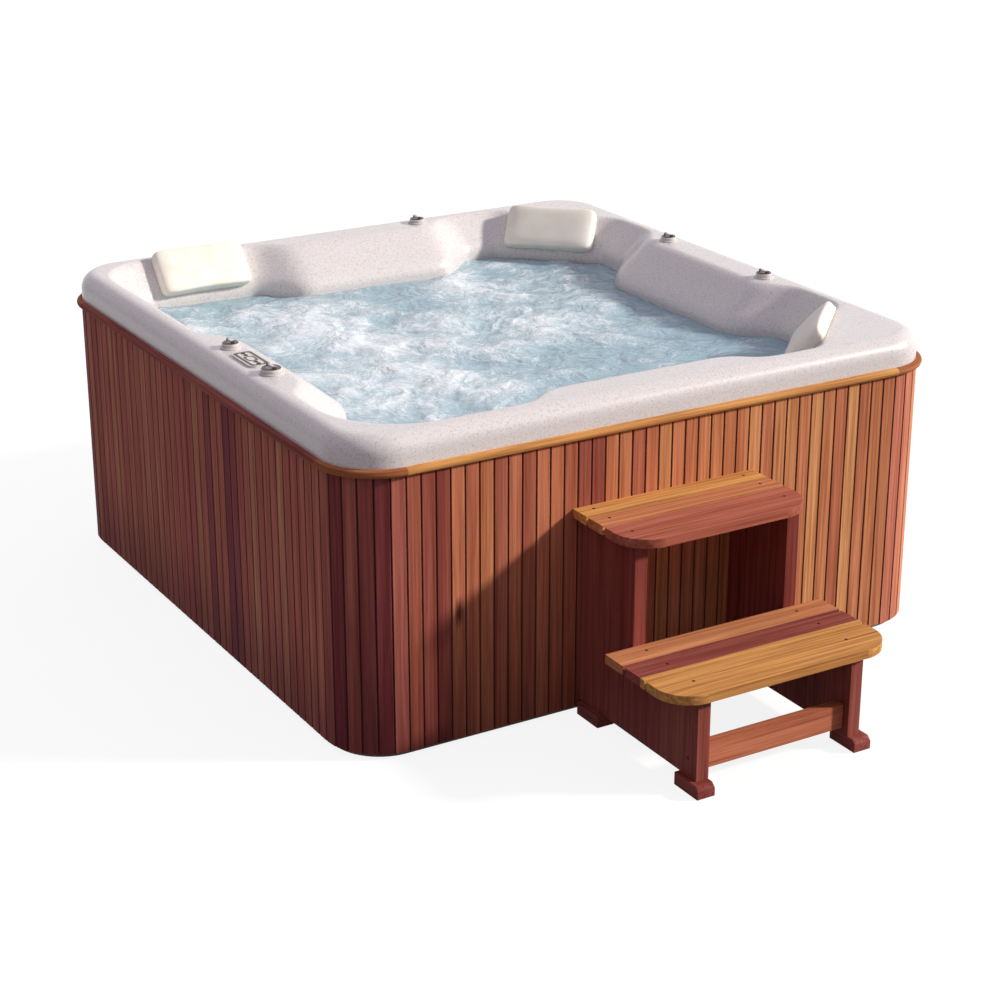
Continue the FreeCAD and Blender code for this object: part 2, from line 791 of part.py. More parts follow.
hole_depth = 6 * S.shell_wall

holes = []
for x, y in air_spots.values():
    holes.append(cylinder(S.air_neck_radius + S.face_play, hole_depth, x, y, rim_top - hole_depth / 2))
holes.append(cylinder(S.diverter_neck_radius + S.face_play, hole_depth,
                      diverter_spot[0], diverter_spot[1], rim_top - hole_depth / 2))
keypad_hole_width = S.keypad_box_width + 2 * S.face_play
keypad_hole_length = S.keypad_box_length + 2 * S.face_play
holes.append(box(-fitting_x - keypad_hole_width / 2, keypad_y - keypad_hole_length / 2,
                 rim_top - hole_depth / 2, keypad_hole_width, keypad_hole_length, hole_depth))
for x, y, aim in jet_spots:
    shift = hole_depth / 2
    move = (0, shift) if aim == "-Y" else (shift, 0)
    holes.append(cylinder(S.jet_neck_radius + S.face_play, hole_depth,
                          x + move[0], y + move[1], S.jet_height, aim))
for y in suction_spots:
    holes.append(cylinder(S.pipe_radius + S.face_play, hole_depth,
                          -well_x - hole_depth / 2, y, S.pump_height, "+X"))
sleeve_height = S.mouth_height + 2 * sleeve_wall
holes.append(box(skimmer_x - sleeve_width / 2 - S.face_play, -wall_y - hole_depth / 2,
                 mouth_base - sleeve_wall - S.face_play, sleeve_width + 2 * S.face_play, hole_depth,
                 sleeve_height + 2 * S.face_play))
shell_holes = group(holes)
node("acrylic_shell", cut(shell_form, shell_holes))

# Headrest pillows


def pillow_section(station, size, crown):
    """Section of a pillow across its height: flat back, rounded edges, crowned front."""
    half = size / 2
    spots = [
        V(station, -half, 0),
        V(station, half, 0),
        V(station, half + 0.1 * crown, 0.42 * crown),
        V(station, half - 0.35 * crown, 0.82 * crown),
        V(station, 0, crown),
        V(station, -half + 0.35 * crown, 0.82 * crown),
        V(station, -half - 0.1 * crown, 0.42 * crown),
    ]
    edges = [
        Part.LineSegment(spots[0], spots[1]).toShape(),
        Part.Arc(spots[1], spots[2], spots[3]).toShape(),
        Part.Arc(spots[3], spots[4], spots[5]).toShape(),
        Part.Arc(spots[5], spots[6], spots[0]).toShape(),
    ]
    return Part.Wire(edges)


def pillow_form():
    """A soft pad, full in the middle and drawn in towards its two ends."""
    half = S.pillow_width.value / 2
    tall = S.pillow_height.value
    thick = S.pillow_thick.value
    shares = [(-1.0, 0.72, 0.42), (-0.86, 0.93, 0.86), (-0.4, 1.0, 1.0),
              (0.4, 1.0, 1.0), (0.86, 0.93, 0.86), (1.0, 0.72, 0.42)]
    sections = [pillow_section(half * at, tall * size, thick * crown) for at, size, crown in shares]
    return Part.makeLoft(sections, True, False)


def pillow(label, foot, head, width_way):
    """A pillow lying on the slope from a foot point up to a head point."""
    up = (head - foot).normalize()
    face = width_way.cross(up)
    body = solid_feature(pillow_form())
    middle = (foot + head) * 0.5
    turn = FreeCAD.Matrix(width_way.x, up.x, face.x, middle.x,
                          width_way.y, up.y, face.y, middle.y,
                          width_way.z, up.z, face.z, middle.z,
                          0, 0, 0, 1)
    body.Placement = FreeCAD.Placement(turn)
    node(label, body)


pillow("lounge_pillow",
       V(lounge_x.value, wall_y.value, shoulder_base.value),
       V(lounge_x.value, lip_y.value - S.rim_width.value, rim_top.value),
       V(1, 0, 0))
slant = math.sqrt(0.5)
rim_reach = S.seat_chamfer.value + (2 - math.sqrt(2)) * S.shoulder_width.value
for label, sign in (("back_corner_pillow", 1), ("front_corner_pillow", -1)):
    foot_cut = S.seat_chamfer.value / 2
    head_cut = rim_reach / 2
    foot_spot = V(wall_x.value - foot_cut, sign * (wall_y.value - foot_cut), shoulder_base.value)
    head_spot = V(wall_x.value + S.shoulder_width.value - head_cut,
                  sign * (wall_y.value + S.shoulder_width.value - head_cut), rim_top.value)
    pillow(label, foot_spot, head_spot, V(slant, -sign * slant, 0) * sign)

# Rim fittings


def valve_body(spot, neck, collar):
    """Valve body hung in the rim by its collar, with a blind bore for the knob's stem."""
    bore = S.stem_radius + S.running_play
    deep = S.stem_length + 3
    body = turned([
        (bore, S.collar_thick),
        (collar - 2, S.collar_thick),
        (collar, S.collar_thick - 2),
        (collar, 0),
        (neck, 0),
        (neck, -S.neck_length),
        (0, -S.neck_length),
        (0, -deep),
        (bore, -deep),
    ])
    return seat(body, spot[0], spot[1], rim_top)


def valve_knob(spot, radius):
    """Round knob on a stem, with a grip bar across its top."""
    under = S.collar_thick + S.face_play
    over = under + S.knob_thick
    disc = turned([
        (0, -S.stem_length),
        (S.stem_radius, -S.stem_length),
        (S.stem_radius, under),
        (radius, under),
        (radius, over - 4),
        (radius - 4, over),
        (0, over),
    ])
    seat(disc, spot[0], spot[1], rim_top)
    long_half = radius - 5
    bar = box(spot[0] - 4.5, spot[1] - long_half, rim_top + over - 1, 9, 2 * long_half, 8)
    return fuse([disc, bar])


bodies = [valve_body(spot, S.air_neck_radius, S.air_collar_radius) for spot in air_spots.values()]
node("air_valve_bodies", group(bodies))
for label, spot in air_spots.items():
    node(label, valve_knob(spot, S.air_knob_radius))
node("diverter_body", valve_body(diverter_spot, S.diverter_neck_radius, S.diverter_collar_radius))
node("diverter_knob", valve_knob(diverter_spot, S.diverter_knob_radius))

bezel_body = new_body()
bezel_plate = pad(bezel_body, "XY_Plane",
                  rectangle(-S.bezel_width / 2, -S.bezel_length / 2, S.bezel_width / 2, S.bezel_length / 2),
                  S.bezel_thick)
round_edges(bezel_body, bezel_plate, S.bezel_corner, is_upright)
seat(bezel_body, -fitting_x, keypad_y, rim_top)
keypad_box = box(-fitting_x - S.keypad_box_width / 2, keypad_y - S.keypad_box_length / 2,
                 rim_top - S.keypad_box_depth, S.keypad_box_width, S.keypad_box_length, S.keypad_box_depth)
bezel_top = rim_top + S.bezel_thick
display = box(-fitting_x - S.display_width / 2, keypad_y - S.display_length / 2,
              bezel_top - S.display_thick, S.display_width, S.display_length, S.display_thick)
button_base = bezel_top + S.button_proud - S.button_length
button_tools = []
button_spots = []
for sign in (1, -1):
    for index in range(BUTTONS_PER_END):
        away = S.display_length / 2 + S.button_pitch * (index + 0.55)
        button_spots.append(keypad_y + sign * away)
for y in button_spots:
    deep = S.button_length - S.button_proud + S.button_room
    button_tools.append(cylinder(S.button_radius + S.running_play, deep + 1, -fitting_x, y, bezel_top - deep))
bezel_tools = group(button_tools + [display])
node("keypad_bezel", cut(fuse([bezel_body, keypad_box]), bezel_tools))
node("keypad_display", display)
for number, y in enumerate(button_spots, start=1):
    button = turned([
        (0, 0),
        (S.button_radius, 0),
        (S.button_radius, S.button_length - 1),
        (S.button_radius - 1, S.button_length),
        (0, S.button_length),
    ])
    node("keypad_button_%d" % number, seat(button, -fitting_x, y, button_base))

# Jets and their water supply

jet_flange = S.shell_wall / 2
jet_depth = S.jet_tail + 2 * S.hose_radius
hub_bore = S.jet_hub_radius + S.running_play
hub_deep = 40


def jet_body(x, y, aim):
    """Jet body: flange inside the tub, neck in the wall, nut and closed tail behind it."""
    nut = S.jet_neck_radius + 8
    body = turned([
        (hub_bore, jet_flange),
        (S.jet_flange_radius, jet_flange),
        (S.jet_flange_radius, 0),
        (S.jet_neck_radius, 0),
        (S.jet_neck_radius, -S.shell_wall),
        (nut, -S.shell_wall),
        (nut, -S.shell_wall - 14),
        (S.jet_neck_radius, -S.shell_wall - 14),
        (S.jet_neck_radius, -jet_depth),
        (0, -jet_depth),
        (0, -hub_deep),
        (hub_bore, -hub_deep),
    ])
    return seat(body, x, y, S.jet_height, AIMS[aim])


def jet_face(x, y, aim):
    """Turning jet face: a dished disc on a hub, with one nozzle off the centre."""
    front = jet_flange + S.face_play
    disc = turned([
        (0, 4 - hub_deep),
        (S.jet_hub_radius, 4 - hub_deep),
        (S.jet_hub_radius, front),
        (S.jet_face_radius, front),
        (S.jet_face_radius, front + 4),
        (S.jet_face_radius - 8, front + 10),
        (0, front + 7),
    ])
    seat(disc, x, y, S.jet_height, AIMS[aim])
    shift = S.jet_hub_radius / 2
    side = (shift, 0) if aim == "-Y" else (0, shift)
    back = (0, hub_deep) if aim == "-Y" else (hub_deep, 0)
    nozzle = cylinder(S.jet_hub_radius / 3, 2 * hub_deep, x + side[0] + back[0], y + side[1] + back[1],
                      S.jet_height, aim)
    return cut(disc, nozzle)


jets = group([jet_body(*spot) for spot in jet_spots])
node("jet_bodies", jets)
for number, spot in enumerate(jet_spots, start=1):
    node("jet_face_%d" % number, jet_face(*spot))

pump_x = -well_x - S.pump_room
slice_y = pump_y + S.elbow_radius + 40
heater_y = slice_y + S.slice_valve_length
heater_end = heater_y + S.heater_length
supply_y = bulge_y + S.jet_tail
supply_x = bulge_x + S.jet_tail
manifold = pipe([
    (pump_x, heater_end, S.heater_height),
    (pump_x, supply_y, S.heater_height),
    (supply_x, supply_y, S.heater_height),
    (supply_x, -S.jet_spacing / 2 - S.elbow_radius, S.heater_height),
], S.pipe_radius, S.pipe_bore, S.elbow_radius)
node("jet_manifold", manifold)
hoses = []
for x, y, aim in jet_spots:
    move = (0, S.jet_tail) if aim == "-Y" else (S.jet_tail, 0)
    hoses.append(cylinder(S.hose_radius, S.jet_height - S.heater_height,
                          x + move[0], y + move[1], S.heater_height))
plain_manifold = solid_feature(pipe_solid([
    (pump_x, heater_end, S.heater_height),
    (pump_x, supply_y, S.heater_height),
    (supply_x, supply_y, S.heater_height),
    (supply_x, -S.jet_spacing / 2 - S.elbow_radius, S.heater_height),
], S.pipe_radius, S.elbow_radius))
node("jet_hoses", cut(cut(group(hoses), jets), plain_manifold))

# Pump, heater and control box in the space behind the access panel

volute_x = pump_x - S.volute_length / 2
motor_x = volute_x - S.motor_length
inlet_end = pump_x + S.volute_length / 2 + 24
outlet_top = S.pump_height + S.volute_radius + 22
motor = cylinder(S.motor_radius, S.motor_length, motor_x, pump_y, S.pump_height, "+X")
foot = box(motor_x + S.motor_length / 6, pump_y - 0.7 * S.motor_radius, S.pan_thick,
           S.motor_length * 2 / 3, 1.4 * S.motor_radius, S.pump_height - S.pan_thick)
shaft_bore = cylinder(S.shaft_radius + S.running_play, S.motor_length, motor_x, pump_y, S.pump_height, "+X")
node("pump_motor", cut(fuse([motor, foot]), shaft_bore))

volute = cylinder(S.volute_radius, S.volute_length, volute_x, pump_y, S.pump_height, "+X")
inlet = cylinder(S.pipe_radius + 4, inlet_end - pump_x, pump_x, pump_y, S.pump_height, "+X")
outlet = cylinder(S.pipe_radius + 4, outlet_top - S.pump_height, pump_x, pump_y, S.pump_height)
chamber = cylinder(S.impeller_radius + 6, S.volute_length - 24, volute_x + 12, pump_y, S.pump_height, "+X")
inlet_bore = cylinder(S.pipe_bore, inlet_end - pump_x, pump_x, pump_y, S.pump_height, "+X")
outlet_bore = cylinder(S.pipe_bore, outlet_top - S.pump_height, pump_x, pump_y, S.pump_height)
shaft_hole = cylinder(S.shaft_radius + 1, 14, volute_x - 1, pump_y, S.pump_height, "+X")
node("pump_wet_end", cut(fuse([volute, inlet, outlet]), group([chamber, inlet_bore, outlet_bore, shaft_hole])))

rotor = turned([
    (0, 0),
    (S.shaft_radius, 0),
    (S.shaft_radius, S.motor_length + 6),
    (S.impeller_radius, S.motor_length + 6),
    (S.impeller_radius, S.motor_length + 14),
    (S.shaft_radius + 6, S.motor_length + 26),
    (0, S.motor_length + 26),
])
node("pump_rotor", seat(rotor, motor_x + 12, pump_y, S.pump_height, AIMS["+X"]))

gate_bore = S.gate_stem_radius + S.running_play
gate_y = slice_y + S.slice_valve_length / 2
gate_x = inlet_end + S.slice_valve_length / 2


def slice_valve(start, aim, bonnet, stem):
    """Slice valve body: a short pipe block with a bonnet that guides the stem."""
    barrel = cylinder(S.pipe_radius + 6, S.slice_valve_length, start[0], start[1], start[2], aim)
    bore = cylinder(S.pipe_bore, S.slice_valve_length, start[0], start[1], start[2], aim)
    return cut(fuse([barrel, bonnet]), group([bore, stem]))


block = S.slice_valve_length - 10
suction_bonnet = box(gate_x - block / 2, pump_y - S.pipe_radius, S.pump_height,
                     block, 2 * S.pipe_radius, S.bonnet_height)
suction_guide = cylinder(gate_bore, S.bonnet_height, gate_x, pump_y, S.pump_height)
suction_valve = slice_valve((inlet_end, pump_y, S.pump_height), "+X", suction_bonnet, suction_guide)
pressure_bonnet = box(pump_x - S.bonnet_height, gate_y - block / 2, S.heater_height - S.pipe_radius,
                      S.bonnet_height, block, 2 * S.pipe_radius)
pressure_guide = cylinder(gate_bore, S.bonnet_height, pump_x, gate_y, S.heater_height, "-X")
pressure_valve = slice_valve((pump_x, slice_y, S.heater_height), "+Y", pressure_bonnet, pressure_guide)
node("slice_valve_bodies", group([suction_valve, pressure_valve]))


def gate_handle(x, y, z, aim):
    """Slice valve stem with a round pull handle outside the bonnet."""
    handle = turned([
        (0, S.pipe_bore + 4),
        (S.gate_stem_radius, S.pipe_bore + 4),
        (S.gate_stem_radius, S.bonnet_height + 6),
        (22, S.bonnet_height + 6),
        (22, S.bonnet_height + 14),
        (0, S.bonnet_height + 14),
    ])
    return seat(handle, x, y, z, AIMS[aim])


node("suction_gate_handle", gate_handle(gate_x, pump_y, S.pump_height, "+Z"))
node("pressure_gate_handle", gate_handle(pump_x, gate_y, S.heater_height, "-X"))

node("pressure_pipe", pipe([
    (pump_x, pump_y, outlet_top),
    (pump_x, pump_y, S.heater_height),
    (pump_x, slice_y, S.heater_height),
], S.pipe_radius, S.pipe_bore, S.elbow_radius))

union = S.heater_radius + 9
heater = turned([
    (S.pipe_bore, 0),
    (union, 0),
    (union, 26),
    (S.heater_radius, 26),
    (S.heater_radius, S.heater_length - 26),
    (union, S.heater_length - 26),
    (union, S.heater_length),
    (S.pipe_bore, S.heater_length),
    (S.pipe_bore, S.heater_length - 12),
    (S.heater_radius - 3, S.heater_length - 12),
    (S.heater_radius - 3, 12),
    (S.pipe_bore, 12),
])
heater_node = node("heater_tube", seat(heater, pump_x, heater_y, S.heater_height, AIMS["+Y"]))

box_y = heater_y + (S.heater_length - S.control_box_length) / 2
box_top = S.heater_height - S.heater_radius - 8
case = box(pump_x - S.control_box_depth / 2, box_y, S.pan_thick, S.control_box_depth, S.control_box_length,
           box_top - S.pan_thick)
saddles = []
for share in (0.2, 0.8):
    saddle_y = box_y + S.control_box_length * share - 15
    saddles.append(box(pump_x - S.heater_radius, saddle_y, box_top, 2 * S.heater_radius, 30,
                       S.heater_height - box_top))
heater_core = cylinder(S.heater_radius, S.heater_length, pump_x, heater_y, S.heater_height, "+Y")
gland_in = S.control_box_length / 6
gland = cylinder(S.gland_radius, S.gland_length, pump_x - S.control_box_depth / 2 - S.gland_length,
                 box_y + gland_in, S.pan_thick + gland_in, "+X")
node("control_box", group([case, cut(group(saddles), heater_core), gland]))

suction_start = inlet_end + S.slice_valve_length
suction_end = -well_x - S.shell_wall - S.cover_tail
suction_length = suction_end - suction_start
main_outside = cylinder(S.pipe_radius, suction_length, suction_start, pump_y, S.pump_height, "+X")
main_inside = cylinder(S.pipe_bore, suction_length, suction_start, pump_y, S.pump_height, "+X")
branch = pipe([
    (suction_end, pump_y + S.branch_spacing, S.pump_height),
    (-well_x - S.branch_room, pump_y + S.branch_spacing, S.pump_height),
    (-well_x - S.branch_room, pump_y, S.pump_height),
], S.pipe_radius / 2, S.pipe_bore / 2, S.pipe_radius / 2 + 2)
node("suction_pipe", group([cut(main_outside, main_inside), cut(branch, main_outside)]))

covers = []
for y, inner in zip(suction_spots, (S.pipe_bore, S.pipe_bore / 2)):
    cover = turned([
        (inner, -S.shell_wall - S.cover_tail),
        (S.pipe_radius, -S.shell_wall - S.cover_tail),
        (S.pipe_radius, 0),
        (S.cover_radius, 0),
        (S.cover_radius, 0.1 * S.cover_radius),
        (0.76 * S.cover_radius, 0.26 * S.cover_radius),
        (inner / 2, 0.3 * S.cover_radius),
        (inner / 2, 0.16 * S.cover_radius),
        (inner, 0.16 * S.cover_radius),
    ])
    covers.append(seat(cover, -well_x, y, S.pump_height, AIMS["+X"]))
node("suction_covers", group(covers))

# Skimmer, weir flap and filter

skimmer_face = -wall_y - S.shell_wall
skimmer_back = skimmer_face - S.skimmer_depth
skimmer_top = S.mouth_top_height + sleeve_wall
outside = box(skimmer_x - S.skimmer_width / 2, skimmer_back, S.skimmer_base_height,
              S.skimmer_width, S.skimmer_depth, skimmer_top - S.skimmer_base_height)
sleeve = box(skimmer_x - sleeve_width / 2, skimmer_face - 1, mouth_base - sleeve_wall,
             sleeve_width, S.shell_wall + 1, sleeve_height)
flange = box(skimmer_x - flange_half, -wall_y, mouth_base - sleeve_wall - S.skimmer_flange,
             2 * flange_half, sleeve_wall, sleeve_height + S.skimmer_flange)
inside = box(skimmer_x - S.skimmer_width / 2 + sleeve_wall, skimmer_back + sleeve_wall,
             S.skimmer_base_height + sleeve_wall, S.skimmer_width - 2 * sleeve_wall,
             S.skimmer_depth - 2 * sleeve_wall,
             S.mouth_top_height - S.skimmer_base_height - sleeve_wall)
mouth = box(skimmer_x - S.mouth_width / 2, skimmer_face - 2 * sleeve_wall, mouth_base,
            S.mouth_width, S.shell_wall + 4 * sleeve_wall, S.mouth_height)
filter_y = skimmer_face - S.skimmer_depth / 2
drain = cylinder(S.filter_pipe_radius - 4, 3 * sleeve_wall, filter_x, filter_y,
                 S.skimmer_base_height - sleeve_wall)
weir_y = skimmer_face - S.weir_setback
weir_axis = S.mouth_top_height - 7
pin_length = S.skimmer_width - sleeve_wall
pin_holes = cylinder(S.weir_pin_radius + S.running_play, pin_length + 2, skimmer_x - pin_length / 2 - 1,
                     weir_y, weir_axis, "+X")
node("skimmer_box", cut(fuse([outside, sleeve, flange]), group([inside, mouth, drain, pin_holes])))

flap_drop = S.mouth_height - 7 - 5
flap_width = S.skimmer_width - 3 * sleeve_wall
flap = box(skimmer_x - flap_width / 2, weir_y - S.weir_thick / 2, weir_axis - flap_drop,
           flap_width, S.weir_thick, flap_drop + 3)
pin = cylinder(S.weir_pin_radius, pin_length, skimmer_x - pin_length / 2, weir_y, weir_axis, "+X")
node("skimmer_weir", fuse([flap, pin]))

cap = 12
cartridge = turned([
    (16, 0),
    (S.cartridge_radius, 0),
    (S.cartridge_radius, cap),
    (S.cartridge_radius - 3, cap),
    (S.cartridge_radius - 3, S.cartridge_length - cap),
    (S.cartridge_radius, S.cartridge_length - cap),
    (S.cartridge_radius, S.cartridge_length),
    (16, S.cartridge_length),
])
node("filter_cartridge", seat(cartridge, skimmer_x, filter_y, S.skimmer_base_height + sleeve_wall))

filter_pipe = pipe([
    (filter_x, filter_y, S.skimmer_base_height),
    (filter_x, filter_y, S.filter_pipe_height),
    (filter_x, pump_y, S.filter_pipe_height),
    (filter_x, pump_y, S.pump_height),
], S.filter_pipe_radius, S.filter_pipe_radius - 4, S.elbow_radius - 10)
node("filter_pipe", cut(filter_pipe, main_outside))

# Wooden steps, standing against the front

step_back = -half_y - S.step_gap
side_join = step_back - S.tall_side_depth
side_front = side_join - S.low_side_depth
tall_top = S.upper_tread_height - S.tread_thick
low_top = S.lower_tread_height - S.tread_thick
side_inner = S.side_half_width - S.side_thick
rail_y = side_front + S.rail_setback

plugs = []
rail_plug_height = S.rail_base_height + S.rail_height / 2
for start, aim in ((-S.side_half_width, "+X"), (S.side_half_width, "-X")):
    plugs.append(cylinder(S.plug_radius, S.plug_depth, start, rail_y + S.rail_thick / 2, rail_plug_height, aim))
side_plugs = group(list(plugs))

sides = []
for left in (-S.side_half_width, side_inner):
    sides.append(box(left, side_join, S.foot_height, S.side_thick, S.tall_side_depth, tall_top - S.foot_height))
    sides.append(box(left, side_front, S.foot_height, S.side_thick, S.low_side_depth, low_top - S.foot_height))
node("step_sides", cut(group(sides), side_plugs))

feet = []
toe_y = side_front - S.foot_toe
for sign in (-1, 1):
    foot_body = new_body()
    pad(foot_body, "YZ_Plane", [
        (0, 0),
        (S.foot_length, 0),
        (S.foot_length, S.foot_height),
        (S.foot_bevel, S.foot_height),
        (0, S.foot_height - S.foot_bevel),
    ], S.foot_width)
    outer = -side_inner - S.foot_width if sign < 0 else side_inner
    feet.append(seat(foot_body, outer, toe_y, 0))
    feet.append(box(outer, step_back - S.foot_length - 12, 0, S.foot_width, S.foot_length, S.foot_height))
node("step_feet", group(feet))


def tread(top, back, half, boards):
    """Three boards across the sides; the front one has rounded ends."""
    solids = []
    edge = back
    for number, width in enumerate(boards):
        front = edge - width
        if number < len(boards) - 1:
            solids.append(box(-half, front, top - S.tread_thick, 2 * half, width, S.tread_thick))
        else:
            body = new_body()
            plank = pad(body, "XY_Plane", rectangle(-half, 0, half, width), S.tread_thick)
            round_edges(body, plank, S.board_corner,
                        lambda item: is_upright(item) and item.BoundBox.YMax < 0.01)
            solids.append(seat(body, 0, front, top - S.tread_thick))
        centre = S.side_half_width - S.side_thick / 2
        for sign in (-1, 1):
            plugs.append(cylinder(S.plug_radius, S.plug_depth, sign * centre, front + 0.6 * width,
                                  top - S.plug_depth))
        edge = front - S.board_gap
    return cut(group(solids), group(plugs[-2 * len(boards):]))


upper_boards = (S.upper_back_board, S.upper_mid_board, S.upper_front_board)
lower_boards = (S.lower_back_board, S.lower_mid_board, S.lower_front_board)
node("step_upper_tread", tread(S.upper_tread_height, step_back, S.upper_half_width, upper_boards))
node("step_lower_tread", tread(S.lower_tread_height, side_join, S.lower_half_width, lower_boards))
node("step_plugs", group(plugs))

upper_depth = S.upper_back_board + S.upper_mid_board + S.upper_front_board + 2 * S.board_gap
lower_depth = S.lower_back_board + S.lower_mid_board + S.lower_front_board + 2 * S.board_gap
rails = [
    box(-side_inner, rail_y, S.rail_base_height, 2 * side_inner, S.rail_thick, S.rail_height),
    box(-side_inner, step_back - S.rail_thick, tall_top - S.rail_height,
        2 * side_inner, S.rail_thick, S.rail_height),
    box(-S.batten_width / 2, step_back - upper_depth + 40, tall_top - S.batten_thick,
        S.batten_width, upper_depth - 40 - S.rail_thick, S.batten_thick),
    box(-S.batten_width / 2, side_join - lower_depth + 40, low_top - S.batten_thick,
        S.batten_width, lower_depth - 50, S.batten_thick),
]
node("step_rails", group(rails))

# Checks and export

doc.recompute()
for obj in doc.Objects:
    if "Invalid" in obj.State or "Error" in obj.State:
        raise RuntimeError("%s is not built: %s" % (obj.Label, obj.State))
os.makedirs("parts", exist_ok=True)
for obj in nodes:
    if obj.Shape.isNull() or not obj.Shape.isValid():
        raise RuntimeError("%s has no valid shape" % obj.Label)
    obj.Shape.exportStep("parts/%s.step" % obj.Label)
print("%d sub-parts written" % len(nodes))
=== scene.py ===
"""Looks for a wood-skirted hot tub with steps: moulded shell, water, headrests, finishes and studio.

Metres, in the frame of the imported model: +Z up, +X to the right along the face with the steps, +Y back.
"""
import math

import bpy
import numpy as np
from bpy.props import FloatProperty, FloatVectorProperty, PointerProperty
from mathutils import Matrix, Vector


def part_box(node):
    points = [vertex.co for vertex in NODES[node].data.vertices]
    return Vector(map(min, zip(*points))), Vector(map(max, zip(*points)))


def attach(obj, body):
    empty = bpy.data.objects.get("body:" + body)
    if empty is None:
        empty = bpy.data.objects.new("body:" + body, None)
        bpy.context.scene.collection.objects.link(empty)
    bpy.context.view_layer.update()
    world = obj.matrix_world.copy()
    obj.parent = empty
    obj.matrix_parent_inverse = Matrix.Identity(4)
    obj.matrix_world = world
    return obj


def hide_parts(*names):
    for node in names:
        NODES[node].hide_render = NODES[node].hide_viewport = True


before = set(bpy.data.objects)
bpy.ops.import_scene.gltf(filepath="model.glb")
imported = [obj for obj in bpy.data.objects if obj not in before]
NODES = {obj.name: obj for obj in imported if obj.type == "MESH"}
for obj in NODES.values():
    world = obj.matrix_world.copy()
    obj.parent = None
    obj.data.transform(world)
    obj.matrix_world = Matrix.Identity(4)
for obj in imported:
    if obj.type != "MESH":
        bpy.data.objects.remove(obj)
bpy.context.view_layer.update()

bl_info = {
    "name": "Hot tub looks",
    "version": (1, 0, 0),
    "blender": (4, 5, 0),
    "location": "3D View > Sidebar > Hot tub",
    "description": "Shell, water, headrests and finishes for a wood-skirted hot tub with steps",
    "category": "Object",
}

SHELL_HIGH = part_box("acrylic_shell")[1]
SLATS_LOW, SLATS_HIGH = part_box("front_slats")
SIDE_LOW, SIDE_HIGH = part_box("right_slats")
LIP_HALF = np.array([SHELL_HIGH.x, SHELL_HIGH.y])
RIM_TOP = SHELL_HIGH.z
RUN_X = SLATS_HIGH.x - SLATS_LOW.x
RUN_Y = SIDE_HIGH.y - SIDE_LOW.y
# Slats on the front and back, on each side, and round a corner
SLATS_X, SLATS_Y, SLATS_CORNER = 37, 38, 6
# The knot, in the middle of the front's fourth slat, and one over its half width, depth and half height
KNOT = (SLATS_LOW.x + RUN_X / SLATS_X * 3.5, SLATS_LOW.y, 0.42)
KNOT_NARROWS = (1 / 0.011, 1.0, 1 / 0.042)
# What sets the slats of opposite faces apart, where the shade at a slat's joint starts and is full, as shares
# of its width from its middle, and the colour of the painted shade at the foot
FACE_SEED, JOINT_SHADE, FOOT_SHADE_COLOUR = 61.7, (0.415, 0.465), (0.40, 0.31, 0.40, 1.0)
# Bump of the wood's pores: strength and depth
PORE_RELIEF = (0.25, 0.0006)
# Texture of moulded plastic: pits in a metre, strength and depth of their bump
MOULD_GRIT, MOULD_DEPTH, MOULD_RELIEF = 600.0, 0.12, 0.0003
# Tints of painted shade colour: purplish red for the left face, which stands in shade, and lighter and bluer
# for the corners
LEFT_SHADE_TINT, CORNER_SHADE_TINT = (0.92, 0.78, 1.15, 1.0), (1.12, 1.12, 1.4, 1.0)


def linear(code):
    """An sRGB hex colour as linear red, green, blue and alpha."""
    parts = np.array([int(code[place:place + 2], 16) for place in (1, 3, 5)]) / 255
    parts = np.where(parts <= 0.04045, parts / 12.92, ((parts + 0.055) / 1.055) ** 2.4)
    return (*parts.tolist(), 1.0)


def middle_of(name):
    """The middle of a node's box."""
    low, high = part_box(name)
    return (low + high) / 2


def size(name, note, default):
    """A length that a user may change."""
    return FloatProperty(name=name, description=note, default=default, min=0.0, precision=4, unit="LENGTH")


def tint(name, note, code):
    """A colour that a user may change."""
    return FloatVectorProperty(name=name, description=note, default=linear(code), size=4, min=0.0, max=1.0,
                               subtype="COLOR")


def strength(name, note, default):
    """A strength of light that a user may change."""
    return FloatProperty(name=name, description=note, default=default, min=0.0)


class ShellSettings(bpy.types.PropertyGroup):
    """Moulded acrylic shell."""
    lip_roll: size("Lip roll", "Radius of the rolled outer edge", 0.055)
    lip_corner: size("Lip corner", "Radius of the lip's corners, seen from above", 0.177)
    lip_height: size("Lip height", "Height of the lip above the wooden bead", 0.090)
    rim_width: size("Rim width", "Lip face to the start of the slope at a seat", 0.078)
    shoulder_width: size("Shoulder width", "Lip face to the foot of the slope at a seat", 0.175)
    shoulder_drop: size("Shoulder drop", "Height of the slope", 0.115)
    rim_bulge: size("Rim bulge", "Extra rim width in the middle of a side", 0.075)
    wall_bulge: size("Wall bulge", "Extra wall depth in the middle of a side", 0.125)
    wall: size("Wall", "Thickness of the acrylic and its backing", 0.008)
    bench_height: size("Bench height", "Top of the bench", 0.470)
    seat_drop: size("Seat drop", "Moulded seat below the bench", 0.055)
    floor_height: size("Floor height", "Footwell floor", 0.110)
    well_x: size("Footwell half width", "Half the footwell, left to right", 0.430)
    well_y: size("Footwell half depth", "Half the footwell, front to back", 0.480)
    well_corner: size("Footwell corner", "Radius of the footwell's corners", 0.090)
    pearl: tint("Pearl", "Body colour of the acrylic", "#DAD4D2")
    fleck: tint("Fleck", "Dark flecks in the acrylic", "#8E8688")
    bloom: tint("Bloom", "Soft blush between the flecks", "#CFC7C5")


class WaterSettings(bpy.types.PropertyGroup):
    """Churned water."""
    level: size("Water level", "Still water above the floor", 0.830)
    chop: size("Chop", "Height of the waves", 0.019)
    deep: tint("Deep", "Clearer water", "#90AEB9")
    pale: tint("Pale", "Water full of fine bubbles", "#BFD0D6")
    foam: tint("Foam", "Broken surface", "#E6ECEE")


